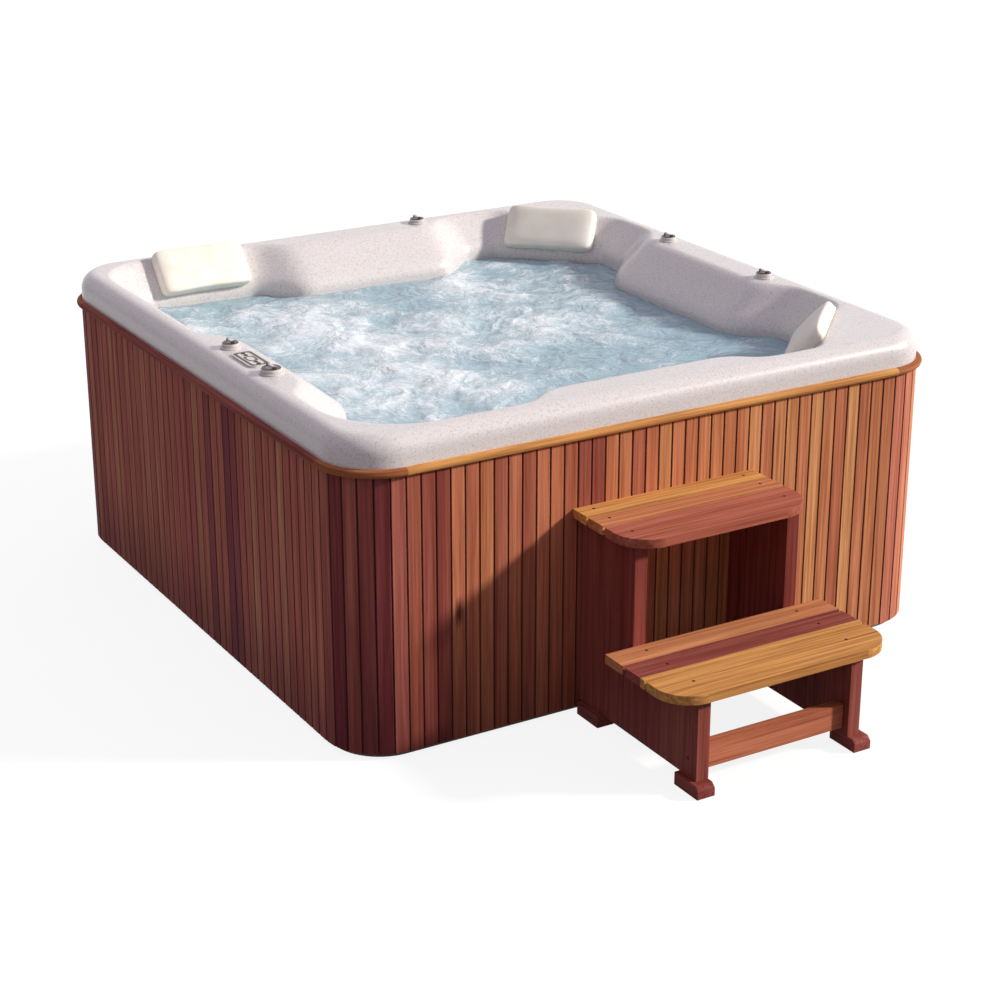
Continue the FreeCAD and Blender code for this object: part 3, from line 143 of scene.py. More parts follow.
class HeadrestSettings(bpy.types.PropertyGroup):
    """Headrest pillows."""
    width: size("Width", "Along the wall", 0.342)
    height: size("Height", "Up the slope", 0.170)
    crown: size("Crown", "Thickness in the middle", 0.046)
    swell: size("Swell", "Most that the filling may push the skin out", 0.005)
    ivory: tint("Ivory", "Skin of the headrests", "#F4EFE2")


class WoodSettings(bpy.types.PropertyGroup):
    """Oiled cedar, and the hidden softwood."""
    dark: tint("Dark heartwood", "Deepest slats", "#8C4841")
    red: tint("Red heartwood", "Salmon slats", "#C97E5D")
    tan: tint("Tan heartwood", "Orange slats", "#D19062")
    straw: tint("Straw", "Lightest slats", "#DAA26B")
    groove: tint("Groove", "Shaded joints between the slats", "#3E1A1A")
    bead: tint("Bead", "Corners of the half-round bead", "#A86B44")
    # Amber also paints the bead's lit front and right faces as painted light
    amber: tint("Amber", "Light boards of the steps, and half of the bead", "#D6A05D")
    russet: tint("Russet", "Front board of the upper tread", "#B46B56")
    # Plum also paints the bead's shaded left and back faces, and in part the steps' shaded sides and feet, as
    # painted shade
    plum: tint("Plum", "Dark boards of the steps, and half of the bead", "#97544A")
    timber: tint("Timber", "Sawn softwood of the frame", "#CDAF80")


class FittingSettings(bpy.types.PropertyGroup):
    """Plastics and metals."""
    collar: tint("Collar", "Collars, knobs, jets and skimmer", "#D2CCC9")
    # This colour is painted shade: the dark gap round the knobs' caps and the shaded recess edges of the
    # keypad
    gap_shade: tint("Knob", "Dark rubber let into the knobs and the keypad", "#3F322C")
    pipe: tint("Pipe", "Rigid pipes", "#E7E6E0")
    handle: tint("Handle", "Valve handles", "#B3261E")
    black: tint("Black", "Base pan, pump casing and control box", "#1D1D1F")
    steel: tint("Steel", "Heater and shaft", "#B9BABC")


class StageSettings(bpy.types.PropertyGroup):
    """Floor, light and camera."""
    key: strength("Key light", "Strength of the lamp on the right", 4.3)
    sky: strength("Sky", "Strength of the soft light from overhead", 0.62)
    horizon: strength("Horizon", "Strength of the soft light from the horizon", 0.09)
    lens: FloatProperty(name="Lens", description="Focal length", default=80.25, min=1.0,
                        subtype="DISTANCE_CAMERA")
    floor: tint("Floor", "Studio floor under its white glow", "#6A6968")


class HotTubSettings(bpy.types.PropertyGroup):
    """All the sizes and colours that a user may change."""
    shell: PointerProperty(type=ShellSettings)
    water: PointerProperty(type=WaterSettings)
    headrest: PointerProperty(type=HeadrestSettings)
    wood: PointerProperty(type=WoodSettings)
    fitting: PointerProperty(type=FittingSettings)
    stage: PointerProperty(type=StageSettings)


# Materials


def add_node(tree, kind, inputs=(), out=0, stops=(), **settings):
    """Adds a shader node with its settings, its inputs (values or links, in order or by name or number) and a
    ramp's stops, and gives back one of its outputs."""
    node = tree.nodes.new("ShaderNode" + kind)
    for key, value in settings.items():
        setattr(node, key, value)
    for key, value in inputs.items() if isinstance(inputs, dict) else enumerate(inputs):
        if isinstance(value, bpy.types.NodeSocket):
            tree.links.new(value, node.inputs[key])
        else:
            node.inputs[key].default_value = value
    for number, (place, colour) in enumerate(stops):
        ramp = node.color_ramp.elements
        stop = ramp[number] if number < 2 else ramp.new(place)
        stop.position = place
        stop.color = colour
    return node.outputs[out]


# Settings of a mix: colour laid over colour, and colour multiplied into it
BLEND = {"data_type": "RGBA"}
STAIN = {"data_type": "RGBA", "blend_type": "MULTIPLY"}


def grey(value):
    return (value, value, value, 1.0)


def start_material(name, **constants):
    """A material with its shader's fixed values set, and the Object coordinates to draw with."""
    material = bpy.data.materials.new(name)
    material.use_nodes = True
    tree = material.node_tree
    for key, value in constants.items():
        tree.nodes["Principled BSDF"].inputs[key.replace("_", " ")].default_value = value
    return material, tree, add_node(tree, "TexCoord", out="Object")


def finish_material(material, body, gloss=None, relief=None):
    """Links the colour to the shader. Gloss is a pattern with the roughness where it is 0 and where it is 1,
    and relief is a height with the strength and the depth of its bump."""
    tree = material.node_tree
    inputs = tree.nodes["Principled BSDF"].inputs
    tree.links.new(body, inputs["Base Color"])
    if gloss:
        rough = add_node(tree, "MapRange", (gloss[0], 0.0, 1.0, gloss[1], gloss[2]))
        tree.links.new(rough, inputs["Roughness"])
    if relief:
        bump = add_node(tree, "Bump", {"Height": relief[0], "Strength": relief[1], "Distance": relief[2]})
        tree.links.new(bump, inputs["Normal"])
    return material


def slat_number(tree, place, layout):
    """Each slat's own number, and the distance from its middle as a share of its width, 0.5 at a joint."""
    axes = add_node(tree, "SeparateXYZ", (place,)).node.outputs
    if layout == "corner":
        past = []
        for axis, run in (("Y", RUN_Y), ("X", RUN_X)):
            away = add_node(tree, "Math", (axes[axis],), operation="ABSOLUTE")
            past.append(add_node(tree, "Math", (away, run / 2), operation="SUBTRACT"))
        angle = add_node(tree, "Math", (past[0], past[1]), operation="ARCTAN2")
        along = add_node(tree, "Math", (angle, SLATS_CORNER / (math.pi / 2)), operation="MULTIPLY")
        seed = add_node(tree, "Math", (axes["X"],), operation="SIGN")
        more = add_node(tree, "Math", (axes["Y"],), operation="SIGN")
        seed = add_node(tree, "Math", (more, 3.0, seed), operation="MULTIPLY_ADD")
    else:
        run, count, own, other = {"x": (RUN_X, SLATS_X, "X", "Y"), "y": (RUN_Y, SLATS_Y, "Y", "X")}[layout]
        start = add_node(tree, "Math", (axes[own], run / 2), operation="ADD")
        along = add_node(tree, "Math", (start, count / run), operation="MULTIPLY")
        seed = add_node(tree, "Math", (axes[other],), operation="SIGN")
    number = add_node(tree, "Math", (along,), operation="FLOOR")
    number = add_node(tree, "Math", (seed, FACE_SEED, number), operation="MULTIPLY_ADD")
    share = add_node(tree, "Math", (along,), operation="FRACT")
    share = add_node(tree, "Math", (share, 0.5), operation="SUBTRACT")
    share = add_node(tree, "Math", (share,), operation="ABSOLUTE")
    return number, share


def wood_grain(tree, place, number, stretch):
    """Streaks of early and late wood, drawn out along the board and different on each one: the board's own
    tone, the streaks, the broad figure and the pores.

    Growth rings are 2 to 4 mm apart, drawn about 8 mm wide so that they show; the broad figure is
    six times as wide, and the pores that roughen the surface are 2 mm."""
    chance = add_node(tree, "TexWhiteNoise", {"W": number}, noise_dimensions="1D").node.outputs
    spot = add_node(tree, "VectorMath", (chance["Color"], (5.0, 5.0, 5.0), place), operation="MULTIPLY_ADD")
    fine, broad, small = (
        add_node(tree, "Mapping", {"Vector": spot, "Scale": tuple(part * times for part in stretch)})
        for times in (1.0, 0.16, 4.0))
    streak = add_node(tree, "TexNoise", {"Vector": fine, "Scale": 1.0, "Detail": 4.0, "Roughness": 0.62,
                                         "Distortion": 0.3})
    figure = add_node(tree, "TexNoise", {"Vector": broad, "Scale": 1.0, "Detail": 3.0, "Roughness": 0.55,
                                         "Distortion": 1.2})
    pores = add_node(tree, "TexNoise", {"Vector": small, "Scale": 1.0, "Detail": 2.0})
    return chance["Value"], streak, figure, pores


def figured(tree, body, streak, figure):
    """Darkens a wood's colour along its streaks and its broad figure, more in green and blue than in red."""
    for pattern, stops in ((streak, ((0.30, (0.50, 0.37, 0.37, 1.0)), (0.64, grey(1.10)))),
                           (figure, ((0.34, (0.76, 0.64, 0.62, 1.0)), (0.62, grey(1.06))))):
        shade = add_node(tree, "ValToRGB", (pattern,), stops=stops)
        body = add_node(tree, "Mix", {0: 0.85, 6: body, 7: shade}, 2, **STAIN)
    return body


def oiled_cedar(name, wood, layout, blush=grey(1.0)):
    """Cedar slats, planed and oiled: each slat its own tone, with straight grain, shaded joints, and painted
    shade that darkens the foot. On the front, back and corners, the slats are biased to darker tones towards
    the left as painted shade where the light falls off, and the painted shade at the foot reaches higher
    there. The front has a knot. The blush is a painted shade colour that tints a whole face."""
    material, tree, place = start_material(name, IOR=1.5, Specular_IOR_Level=0.06)
    number, share = slat_number(tree, place, layout)
    tone, streak, figure, pores = wood_grain(tree, place, number, (120.0, 120.0, 2.4))
    axes = add_node(tree, "SeparateXYZ", (place,)).node.outputs
    # Span of the painted shade at the foot: darker towards the bottom, and on the front, back and corners
    # also higher towards the left
    shade_from, shade_to, slant = 0.0, 0.36, 0.0
    if layout != "y":
        shade_from, shade_to, slant = -0.36, 0.28, 0.35
        # painted shade: the slats' tones are biased darker towards the left end, where the light falls off
        left_shade_lean = add_node(tree, "MapRange", (axes["X"], -RUN_X / 2, 0.1, -0.3, 0.24))
        tone = add_node(tree, "Math", (tone, 0.75, left_shade_lean), operation="MULTIPLY_ADD")
    body = add_node(tree, "ValToRGB", (tone,), stops=(
        (0.0, wood.dark), (1.0, wood.straw), (0.28, wood.red), (0.5, wood.tan), (0.66, wood.red),
        (0.86, wood.tan)))
    body = figured(tree, body, streak, figure)
    # painted shade colour: the blush tints a whole face
    body = add_node(tree, "Mix", {0: 1.0, 6: body, 7: blush}, 2, **STAIN)
    if layout == "x":
        knot = add_node(tree, "VectorMath", (place, KNOT), operation="SUBTRACT")
        knot = add_node(tree, "VectorMath", (knot, KNOT_NARROWS), operation="MULTIPLY")
        knot = add_node(tree, "VectorMath", (knot,), "Value", operation="LENGTH")
        knot = add_node(tree, "Math", (streak, 1.6, knot), operation="MULTIPLY_ADD")
        knot = add_node(tree, "MapRange", (knot, 1.2, 2.2, 0.9, 0.0))
        body = add_node(tree, "Mix", {0: knot, 6: body, 7: wood.groove}, 2, **BLEND)
    # painted shade: darker towards the foot, reaching higher towards the left
    rise = add_node(tree, "Math", (axes["X"], slant, axes["Z"]), operation="MULTIPLY_ADD")
    foot_shade = add_node(tree, "MapRange", (rise, shade_from, shade_to, 0.75, 0.0), interpolation_type="SMOOTHSTEP")
    body = add_node(tree, "Mix", {0: foot_shade, 6: body, 7: FOOT_SHADE_COLOUR}, 2, **STAIN)
    joint = add_node(tree, "MapRange", (share, *JOINT_SHADE, 0.0, 0.85))
    body = add_node(tree, "Mix", {0: joint, 6: body, 7: wood.groove}, 2, **BLEND)
    return finish_material(material, body, (streak, 0.74, 0.54), (pores, *PORE_RELIEF))


def cedar_board(name, tones, stretch, board, run):
    """Boards of oiled cedar with the grain along the stretched axis. Places along the direction `board`, over
    the run from its first to its last metre, take the tones in equal steps."""
    material, tree, place = start_material(name, IOR=1.5, Specular_IOR_Level=0.06)
    across = add_node(tree, "VectorMath", (place, board), "Value", operation="DOT_PRODUCT")
    share = add_node(tree, "MapRange", (across, run[0], run[1], 0.0, 1.0))
    steps = [(number / len(tones), tone) for number, tone in enumerate(tones)]
    body = add_node(tree, "ValToRGB", (share,), stops=steps[:1] + [(1.0, tones[-1])] + steps[1:])
    body.node.color_ramp.interpolation = "CONSTANT"
    number = add_node(tree, "Math", (share, float(len(tones))), operation="MULTIPLY")
    number = add_node(tree, "Math", (number,), operation="FLOOR")
    streak, figure, pores = wood_grain(tree, place, number, stretch)[1:]
    body = figured(tree, body, streak, figure)
    return finish_material(material, body, (streak, 0.70, 0.5), (pores, *PORE_RELIEF))


def pearl_acrylic(shell):
    """Vacuum-formed acrylic sheet: glossy pearl with flecks. Real flecks are about 1 mm, and are
    drawn 4 mm wide so that they show."""
    material, tree, place = start_material("pearl_acrylic", IOR=1.49, Coat_Weight=0.25, Coat_Roughness=0.08)
    grit = add_node(tree, "TexNoise", {"Vector": place, "Scale": 170.0, "Detail": 3.0, "Roughness": 0.75})
    cloud = add_node(tree, "TexNoise", {"Vector": place, "Scale": 90.0, "Detail": 4.0, "Roughness": 0.7})
    fleck = add_node(tree, "MapRange", (grit, 0.52, 0.68, 0.0, 0.6))
    blush = add_node(tree, "MapRange", (cloud, 0.40, 0.64, 0.0, 0.7))
    body = add_node(tree, "Mix", {0: blush, 6: shell.pearl, 7: shell.bloom}, 2, **BLEND)
    body = add_node(tree, "Mix", {0: fleck, 6: body, 7: shell.fleck}, 2, **BLEND)
    return finish_material(material, body, (cloud, 0.22, 0.36))


def aerated_water(water):
    """Water churned with air: pale blue between the boils, with broken white froth where the bubbles rise and
    along the crests. The bubbles are 1 to 3 mm, and are drawn as 9 mm froth so that they show."""
    material, tree, place = start_material("aerated_water", IOR=1.333)
    air = add_node(tree, "Attribute", out="Fac", attribute_name="froth")
    warp = add_node(tree, "TexNoise", {"Vector": place, "Scale": 6.0, "Detail": 3.0}, "Color")
    swirl = add_node(tree, "VectorMath", (warp, (0.20, 0.20, 0.0), place), operation="MULTIPLY_ADD")
    lace = add_node(tree, "TexNoise", {"Vector": swirl, "Scale": 15.0, "Detail": 8.0, "Roughness": 0.72,
                                       "Distortion": 0.3})
    grain = add_node(tree, "TexNoise", {"Vector": place, "Scale": 110.0, "Detail": 4.0, "Roughness": 0.8})
    ragged = add_node(tree, "Math", (air, 0.34, lace), operation="MULTIPLY_ADD")
    ragged = add_node(tree, "Math", (grain, 0.6, ragged), operation="MULTIPLY_ADD")
    foam = add_node(tree, "MapRange", (ragged, 0.90, 1.16, 0.0, 0.95))
    body = add_node(tree, "Mix", {0: air, 6: water.deep, 7: water.pale}, 2, **BLEND)
    body = add_node(tree, "Mix", {0: foam, 6: body, 7: water.foam}, 2, **BLEND)
    ripple = add_node(tree, "TexNoise", {"Vector": swirl, "Scale": 24.0, "Detail": 2.5, "Roughness": 0.55})
    return finish_material(material, body, (foam, 0.08, 0.6), (ripple, 0.35, 0.025))


def headrest_skin(headrest):
    """Skinned foam: soft matt vinyl with a fine leather grain, 1.5 mm cells drawn at 3 mm to show."""
    material, tree, place = start_material("headrest_vinyl", IOR=1.52, Roughness=0.55, Sheen_Weight=0.08)
    pores = add_node(tree, "TexVoronoi", {"Vector": place, "Scale": 330.0}, "Distance")
    cloud = add_node(tree, "TexNoise", {"Vector": place, "Scale": 14.0, "Detail": 3.0})
    worn = add_node(tree, "ValToRGB", (cloud,), stops=((0.35, (0.93, 0.91, 0.86, 1.0)), (0.7, grey(1.0))))
    body = add_node(tree, "Mix", {0: 1.0, 6: headrest.ivory, 7: worn}, 2, **STAIN)
    return finish_material(material, body, relief=(pores, 0.18, 0.0006))


def moulded_plastic(name, colour, roughness, grit=MOULD_GRIT, depth=MOULD_DEPTH):
    """Injection-moulded plastic, enamel, foam or filter cloth: slight mottling, and a fine surface texture.
    The texture is under 1 mm, and is drawn at 1.7 mm or coarser so that it shows."""
    material, tree, place = start_material(name, IOR=1.46)
    cloud = add_node(tree, "TexNoise", {"Vector": place, "Scale": 24.0, "Detail": 4.0})
    shade = add_node(tree, "ValToRGB", (cloud,), stops=((0.3, grey(0.86)), (0.7, grey(1.05))))
    body = add_node(tree, "Mix", {0: 1.0, 6: colour, 7: shade}, 2, **STAIN)
    pit = add_node(tree, "TexNoise", {"Vector": place, "Scale": grit, "Detail": 2.0})
    gloss = (cloud, roughness * 0.8, roughness * 1.2)
    return finish_material(material, body, gloss, (pit, depth, MOULD_RELIEF))


def paint_gap_shade(material, place, light, dark, band):
    """Light moulded ABS with a dark line of painted shade where a gap or recess edge lies. The band is a
    value, the number up to which it means painted shade, and the number from which it means ABS."""
    tree = material.node_tree
    shade_line = add_node(tree, "MapRange", (band[0], band[1], band[2], 1.0, 0.0))
    body = add_node(tree, "Mix", {0: shade_line, 6: light, 7: dark}, 2, **BLEND)
    pit = add_node(tree, "TexNoise", {"Vector": place, "Scale": MOULD_GRIT, "Detail": 2.0})
    return finish_material(material, body, relief=(pit, MOULD_DEPTH, MOULD_RELIEF))


def ringed_knob(name, light, dark, node):
    """Moulded knob with a dark ring of painted shade on its top, for the shaded gap round its cap: a band
    between two distances from its axis.
    """
    material, tree, place = start_material(name, IOR=1.46, Roughness=0.34)
    low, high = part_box(node)
    radius = (high.x - low.x) / 2
    spot = add_node(tree, "VectorMath", (place, middle_of(node)), operation="SUBTRACT")
    spot = add_node(tree, "VectorMath", (spot, (1.0, 1.0, 0.0)), operation="MULTIPLY")
    away = add_node(tree, "VectorMath", (spot,), "Value", operation="LENGTH")
    away = add_node(tree, "Math", (away, radius * 0.72), operation="SUBTRACT")
    away = add_node(tree, "Math", (away,), operation="ABSOLUTE")
    return paint_gap_shade(material, place, light, dark, (away, radius * 0.20, radius * 0.23))


def shade_outlined_plate(name, light, dark, node, inset, width):
    """Moulded plate with a dark line of painted shade for a shaded recess edge: a line at a fixed distance
    inside the plate's outline.
    """
    material, tree, place = start_material(name, IOR=1.46, Roughness=0.4)
    low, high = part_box(node)
    half = (high - low) / 2
    spot = add_node(tree, "VectorMath", (place, middle_of(node)), operation="SUBTRACT")
    spot = add_node(tree, "VectorMath", (spot,), operation="ABSOLUTE")
    axes = add_node(tree, "SeparateXYZ", (spot,)).node.outputs
    near = [add_node(tree, "Math", (reach - inset, axes[axis]), operation="SUBTRACT")
            for axis, reach in (("X", half.x), ("Y", half.y))]
    depth = add_node(tree, "Math", (near[0], near[1], 0.02), operation="SMOOTH_MIN")
    depth = add_node(tree, "Math", (depth,), operation="ABSOLUTE")
    return paint_gap_shade(material, place, light, dark, (depth, width * 0.4, width * 0.6))


def brushed_steel(name, colour, axis):
    """Stainless tube, brushed along its length: bright lines, about 0.1 mm wide and drawn at 1 mm to show."""
    material, tree, place = start_material(name, Metallic=1.0)
    stretch = tuple(6.0 if part == axis else 900.0 for part in "XYZ")
    lines = add_node(tree, "Mapping", {"Vector": place, "Scale": stretch})
    brush = add_node(tree, "TexNoise", {"Vector": lines, "Scale": 1.0, "Detail": 3.0})
    shade = add_node(tree, "ValToRGB", (brush,), stops=((0.3, grey(0.8)), (0.7, grey(1.05))))
    body = add_node(tree, "Mix", {0: 1.0, 6: colour, 7: shade}, 2, **STAIN)
    return finish_material(material, body, (brush, 0.22, 0.42))


def seen_share(tree):
    """1 for what the camera sees, straight or by way of gloss and glass, and 0 for other light."""
    rays = add_node(tree, "LightPath").node.outputs
    seen = rays["Is Camera Ray"]
    for kind in ("Is Glossy Ray", "Is Transmission Ray"):
        seen = add_node(tree, "Math", (seen, rays[kind]), operation="MAXIMUM")
    return seen


# Meshes


def add_object(data):
    """A new object in the scene, at the origin, with the name of its data."""
    made = bpy.data.objects.new(data.name, data)
    bpy.context.scene.collection.objects.link(made)
    return made


def add_mesh(name, points, faces, materials):
    """A new smooth mesh object at the origin."""
    mesh = bpy.data.meshes.new(name)
    mesh.from_pydata(points.tolist(), [], faces)
    mesh.update()
    for material in materials:
        mesh.materials.append(material)
    mesh.shade_smooth()
    return add_object(mesh)


def add_piece(name, points, faces, body, materials, slot=None):
    """A new mesh object at the origin, riding on a body."""
    piece = add_mesh(name, points, faces, materials)
    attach(piece, body)
    return piece


def grid_faces(rows, columns, wrap=True):
    """Quads of a grid of points, row by row; a wrapped grid joins its last column to its first."""
    index = np.arange(rows * columns).reshape(rows, columns)
    if wrap:
        index = np.hstack([index, index[:, :1]])
    return np.stack([index[:-1, :-1], index[:-1, 1:], index[1:, 1:], index[1:, :-1]], axis=-1).reshape(-1, 4)


def bake_modifiers(piece):
    """Replaces a piece's mesh by what its modifiers make of it."""
    made = bpy.data.meshes.new_from_object(piece.evaluated_get(bpy.context.evaluated_depsgraph_get()))
    old = piece.data
    piece.modifiers.clear()
    piece.data = made
    made.name = piece.name
    bpy.data.meshes.remove(old)


def dress(names, material):
    """Gives CAD nodes a material."""
    for name in names:
        slots = NODES[name].data.materials
        slots.clear()
        slots.append(material)


# Outlines of the shell, seen from above, in the order front, right, back, left. Each side has the flat of
# its bulge, from and to along the direction of travel, and the corner that follows it: its reach at the foot
# of the slope, how fast that grows outwards, and whether it is cut straight for a seat back.
BULGES = np.array([(-0.320, 0.325), (-0.345, 0.345), (-0.325, 0.275), (-0.020, 0.500)])
REACHES = np.array([0.285, 0.285, 0.090, 0.160])
GROWTH = np.array([0.586, 0.586, 1.0, 1.0])
CUT_STRAIGHT = np.array([True, True, False, False])
# Where the rim starts to ease over before its slope, the spacing of the outlines' points, how many points
# the basin's corners are eased over at the rim and at the wall, and the reach of the footwell's corners
RIM_LEAD, POINT_PITCH, SOFTENING, WELL_REACH = 0.015, 0.018, (2.4, 1.5), 0.2
# Eases at the rim and at the foot of the slope, and the fillets at bench, footwell edge and footwell floor
RIM_EASE, FOOT_EASE, BENCH_FILLET, WELL_EDGE, WELL_FILLET = 0.040, 0.030, 0.045, 0.040, 0.030
# Where the seats dip, from the middle in x and in y, and the width of that step
SEAT_X, SEAT_Y, SEAT_STEP = 0.455, 0.405, 0.060


def side_spots(half, reaches, slant, depth):
    """Six places along each side, as run and distance out: its two ends and the four corners of its bulge."""
    ends, outs = half[[0, 1, 0, 1]], half[[1, 0, 1, 0]]
    runs = np.column_stack([np.roll(reaches, 1) - ends, BULGES[:, 0] - slant, BULGES, BULGES[:, 1] + slant,
                            ends - reaches])
    return np.stack([runs, outs[:, None] - depth * np.array([0, 0, 1, 1, 0, 0])], axis=-1)


def closed_line(spots, reaches, radii, counts):
    """A closed outline. On each side five straight runs join the six places; the corner that follows runs on,
    turns through a quarter circle of its radius and runs on again, over its reach each way. A corner of no
    radius is cut straight."""
    axes = np.array([[1.0, 0.0], [0.0, -1.0]])
    lines = []
    for side in range(4):
        for run in range(5):
            share = np.arange(counts[side, run])[:, None] / counts[side, run]
            lines.append((spots[side, run] * (1 - share) + spots[side, run + 1] * share) @ axes)
        reach, radius = reaches[side], radii[side]
        share = np.arange(counts[side, 5])[:, None] / counts[side, 5]
        if radius:
            straight, turn = reach - radius, radius * math.pi / 2
            travel = share * (2 * straight + turn)
            angle = np.clip((travel - straight) / radius, 0, math.pi / 2)
            step = np.hstack([np.minimum(travel, straight) + radius * np.sin(angle),
                              radius * (np.cos(angle) - 1) - np.maximum(travel - straight - turn, 0)])
        else:
            step = reach * np.hstack([share, -share])
        lines.append((spots[side, 5] + step) @ axes)
        axes = axes @ np.array([[0.0, 1.0], [-1.0, 0.0]])
    return np.vstack(lines)


def soften(line, reach):
    """A closed outline with its corners eased: each point becomes a Gaussian average of its neighbours."""
    pitch = np.fft.fftfreq(len(line))[:, None]
    return np.fft.ifft(np.fft.fft(line, axis=0) * np.exp(-2 * (math.pi * pitch * reach) ** 2), axis=0).real


class ShellLines:
    """The shell's families of outlines, all with the same count of points so that they join up."""

    def __init__(self, shell):
        self.shell = shell
        self.edge = shell.rim_width - RIM_LEAD
        spots = side_spots(LIP_HALF - self.edge, self.reaches(self.edge), shell.rim_bulge, shell.rim_bulge)
        corners = self.reaches(0.0) * 2 - shell.lip_corner * (2 - math.pi / 2)
        lengths = np.column_stack([np.linalg.norm(np.diff(spots, axis=1), axis=2), corners])
        self.counts = np.maximum(np.ceil(lengths / POINT_PITCH).astype(int), 4)

    def reaches(self, inset):
        return REACHES + GROWTH * (self.shell.shoulder_width - inset)

    def lip(self, inset):
        """Rounded rectangle of the lip, its points facing those of the basin."""
        reaches = self.reaches(0.0) - inset
        spots = side_spots(LIP_HALF - inset, reaches, self.shell.rim_bulge, 0.0)
        return closed_line(spots, reaches, np.full(4, self.shell.lip_corner - inset), self.counts)

    def basin(self, inset):
        """Basin at a distance in from the lip face: its sides bulge in, more at the wall than at the rim."""
        shell = self.shell
        bulge = np.interp(inset, (self.edge, shell.shoulder_width), (shell.rim_bulge, shell.wall_bulge))
        reaches = self.reaches(inset)
        spots = side_spots(LIP_HALF - inset, reaches, bulge, bulge)
        line = closed_line(spots, reaches, np.where(CUT_STRAIGHT, 0.0, reaches), self.counts)
        return soften(line, np.interp(inset, (self.edge, shell.shoulder_width), SOFTENING))

    def well(self, inset):
        """Rounded rectangle of the footwell, its points facing those of the wall."""
        shell = self.shell
        wall = side_spots(LIP_HALF - shell.shoulder_width, REACHES, shell.wall_bulge, 0.0)[..., 0]
        share = (wall - wall[:, :1]) / (wall[:, -1:] - wall[:, :1])
        half = np.array([shell.well_x, shell.well_y]) - inset
        reach = WELL_REACH - inset
        runs = (2 * share - 1) * (half[[0, 1, 0, 1]] - reach)[:, None]
        spots = np.stack([runs, np.broadcast_to(half[[1, 0, 1, 0]][:, None], runs.shape)], axis=-1)
        return closed_line(spots, np.full(4, reach), np.full(4, shell.well_corner - inset), self.counts)


def bench_level(shell, line):
    """Height of the bench under an outline: it dips in three corners, with smooth steps in x and in y."""
    across = np.clip((np.abs(line[:, 0]) - SEAT_X) / SEAT_STEP, 0, 1)
    deep = np.clip((np.abs(line[:, 1]) - SEAT_Y) / SEAT_STEP, 0, 1)
    dip = across ** 2 * (3 - 2 * across) * deep ** 2 * (3 - 2 * deep)
    lounge = (line[:, 0] < 0) & (line[:, 1] < 0)
    return shell.bench_height - shell.seat_drop * np.where(lounge, 0.0, dip)


def ease(start, corner, stop, count):
    """Points of a quadratic curve from start to stop, pulled to the corner; the first is left out."""
    share = np.linspace(0, 1, count + 1)[1:, None]
    return start * (1 - share) ** 2 + 2 * corner * share * (1 - share) + stop * share ** 2


def quarter(count):
    """Steps along a quarter circle of radius 1, as 1 - cos and 1 - sin; the first is left out."""
    angle = np.linspace(0, math.pi / 2, count + 1)[1:]
    return zip(1 - np.cos(angle), 1 - np.sin(angle))


def shell_rows(shell, lines):
    """Rows of the shell's upper side, from the lip's lower edge over the rim and down to the footwell floor.
    Each row is an outline at a distance in from the lip face, at a height that may vary along it."""
    top, base = RIM_TOP, RIM_TOP - shell.shoulder_drop
    rows = [(lines.lip(0.0), top - drop) for drop in np.linspace(shell.lip_height, shell.lip_roll, 5)]
    rows += [(lines.lip(shell.lip_roll * run), top - shell.lip_roll * rise) for run, rise in quarter(9)]
    inner, outer = lines.basin(lines.edge), lines.lip(shell.lip_roll)
    rows += [(outer * (1 - share) + inner * share, top) for share in (0.2, 0.4, 0.6, 0.8, 1.0)]
    rim, foot = np.array([shell.rim_width, top]), np.array([shell.shoulder_width, base])
    down = (foot - rim) / np.linalg.norm(foot - rim)
    upper, lower = rim + RIM_EASE * down, foot - FOOT_EASE * down
    slope = np.vstack([ease(np.array([lines.edge, top]), rim, upper, 8), np.linspace(upper, lower, 5)[1:],
                       ease(lower, foot, foot - np.array([0.0, FOOT_EASE]), 7)])
    rows += [(lines.basin(inset), height) for inset, height in slope]
    wall = lines.basin(shell.shoulder_width)
    foot_height = base - FOOT_EASE
    rows += [(wall, foot_height + (bench_level(shell, wall) + BENCH_FILLET - foot_height) * share)
             for share in np.linspace(0, 1, 8)[1:]]
    for run, rise in quarter(5):
        line = lines.basin(shell.shoulder_width + BENCH_FILLET * run)
        rows.append((line, bench_level(shell, line) + BENCH_FILLET * rise))
    outer, inner = rows[-1][0], lines.well(-WELL_EDGE)
    for share in np.linspace(0, 1, 13)[1:]:
        line = outer * (1 - share) + inner * share
        rows.append((line, bench_level(shell, line)))
    bench, floor = shell.bench_height, shell.floor_height
    rows += [(lines.well(-WELL_EDGE * rise), bench - WELL_EDGE * run) for run, rise in quarter(5)]
    well = lines.well(0.0)
    rows += [(well, height) for height in np.linspace(bench - WELL_EDGE, floor + WELL_FILLET, 5)[1:]]
    rows += [(lines.well(WELL_FILLET * run), floor + WELL_FILLET * rise) for run, rise in quarter(4)]
    rows += [(rows[-1][0] * share, floor) for share in (0.75, 0.5, 0.25)]
    return np.stack([np.column_stack([line, np.broadcast_to(height, len(line))]) for line, height in rows])


def capped_grid(rows):
    """Points and faces of closed rows, one inside the next, with the last row closed to a middle point."""
    count, around = rows.shape[:2]
    points = np.vstack([rows.reshape(-1, 3), rows[-1].mean(axis=0)])
    last = np.arange(around) + (count - 1) * around
    cap = np.column_stack([last, np.roll(last, -1), np.full(around, count * around)])
    return points, grid_faces(count, around).tolist() + cap.tolist()


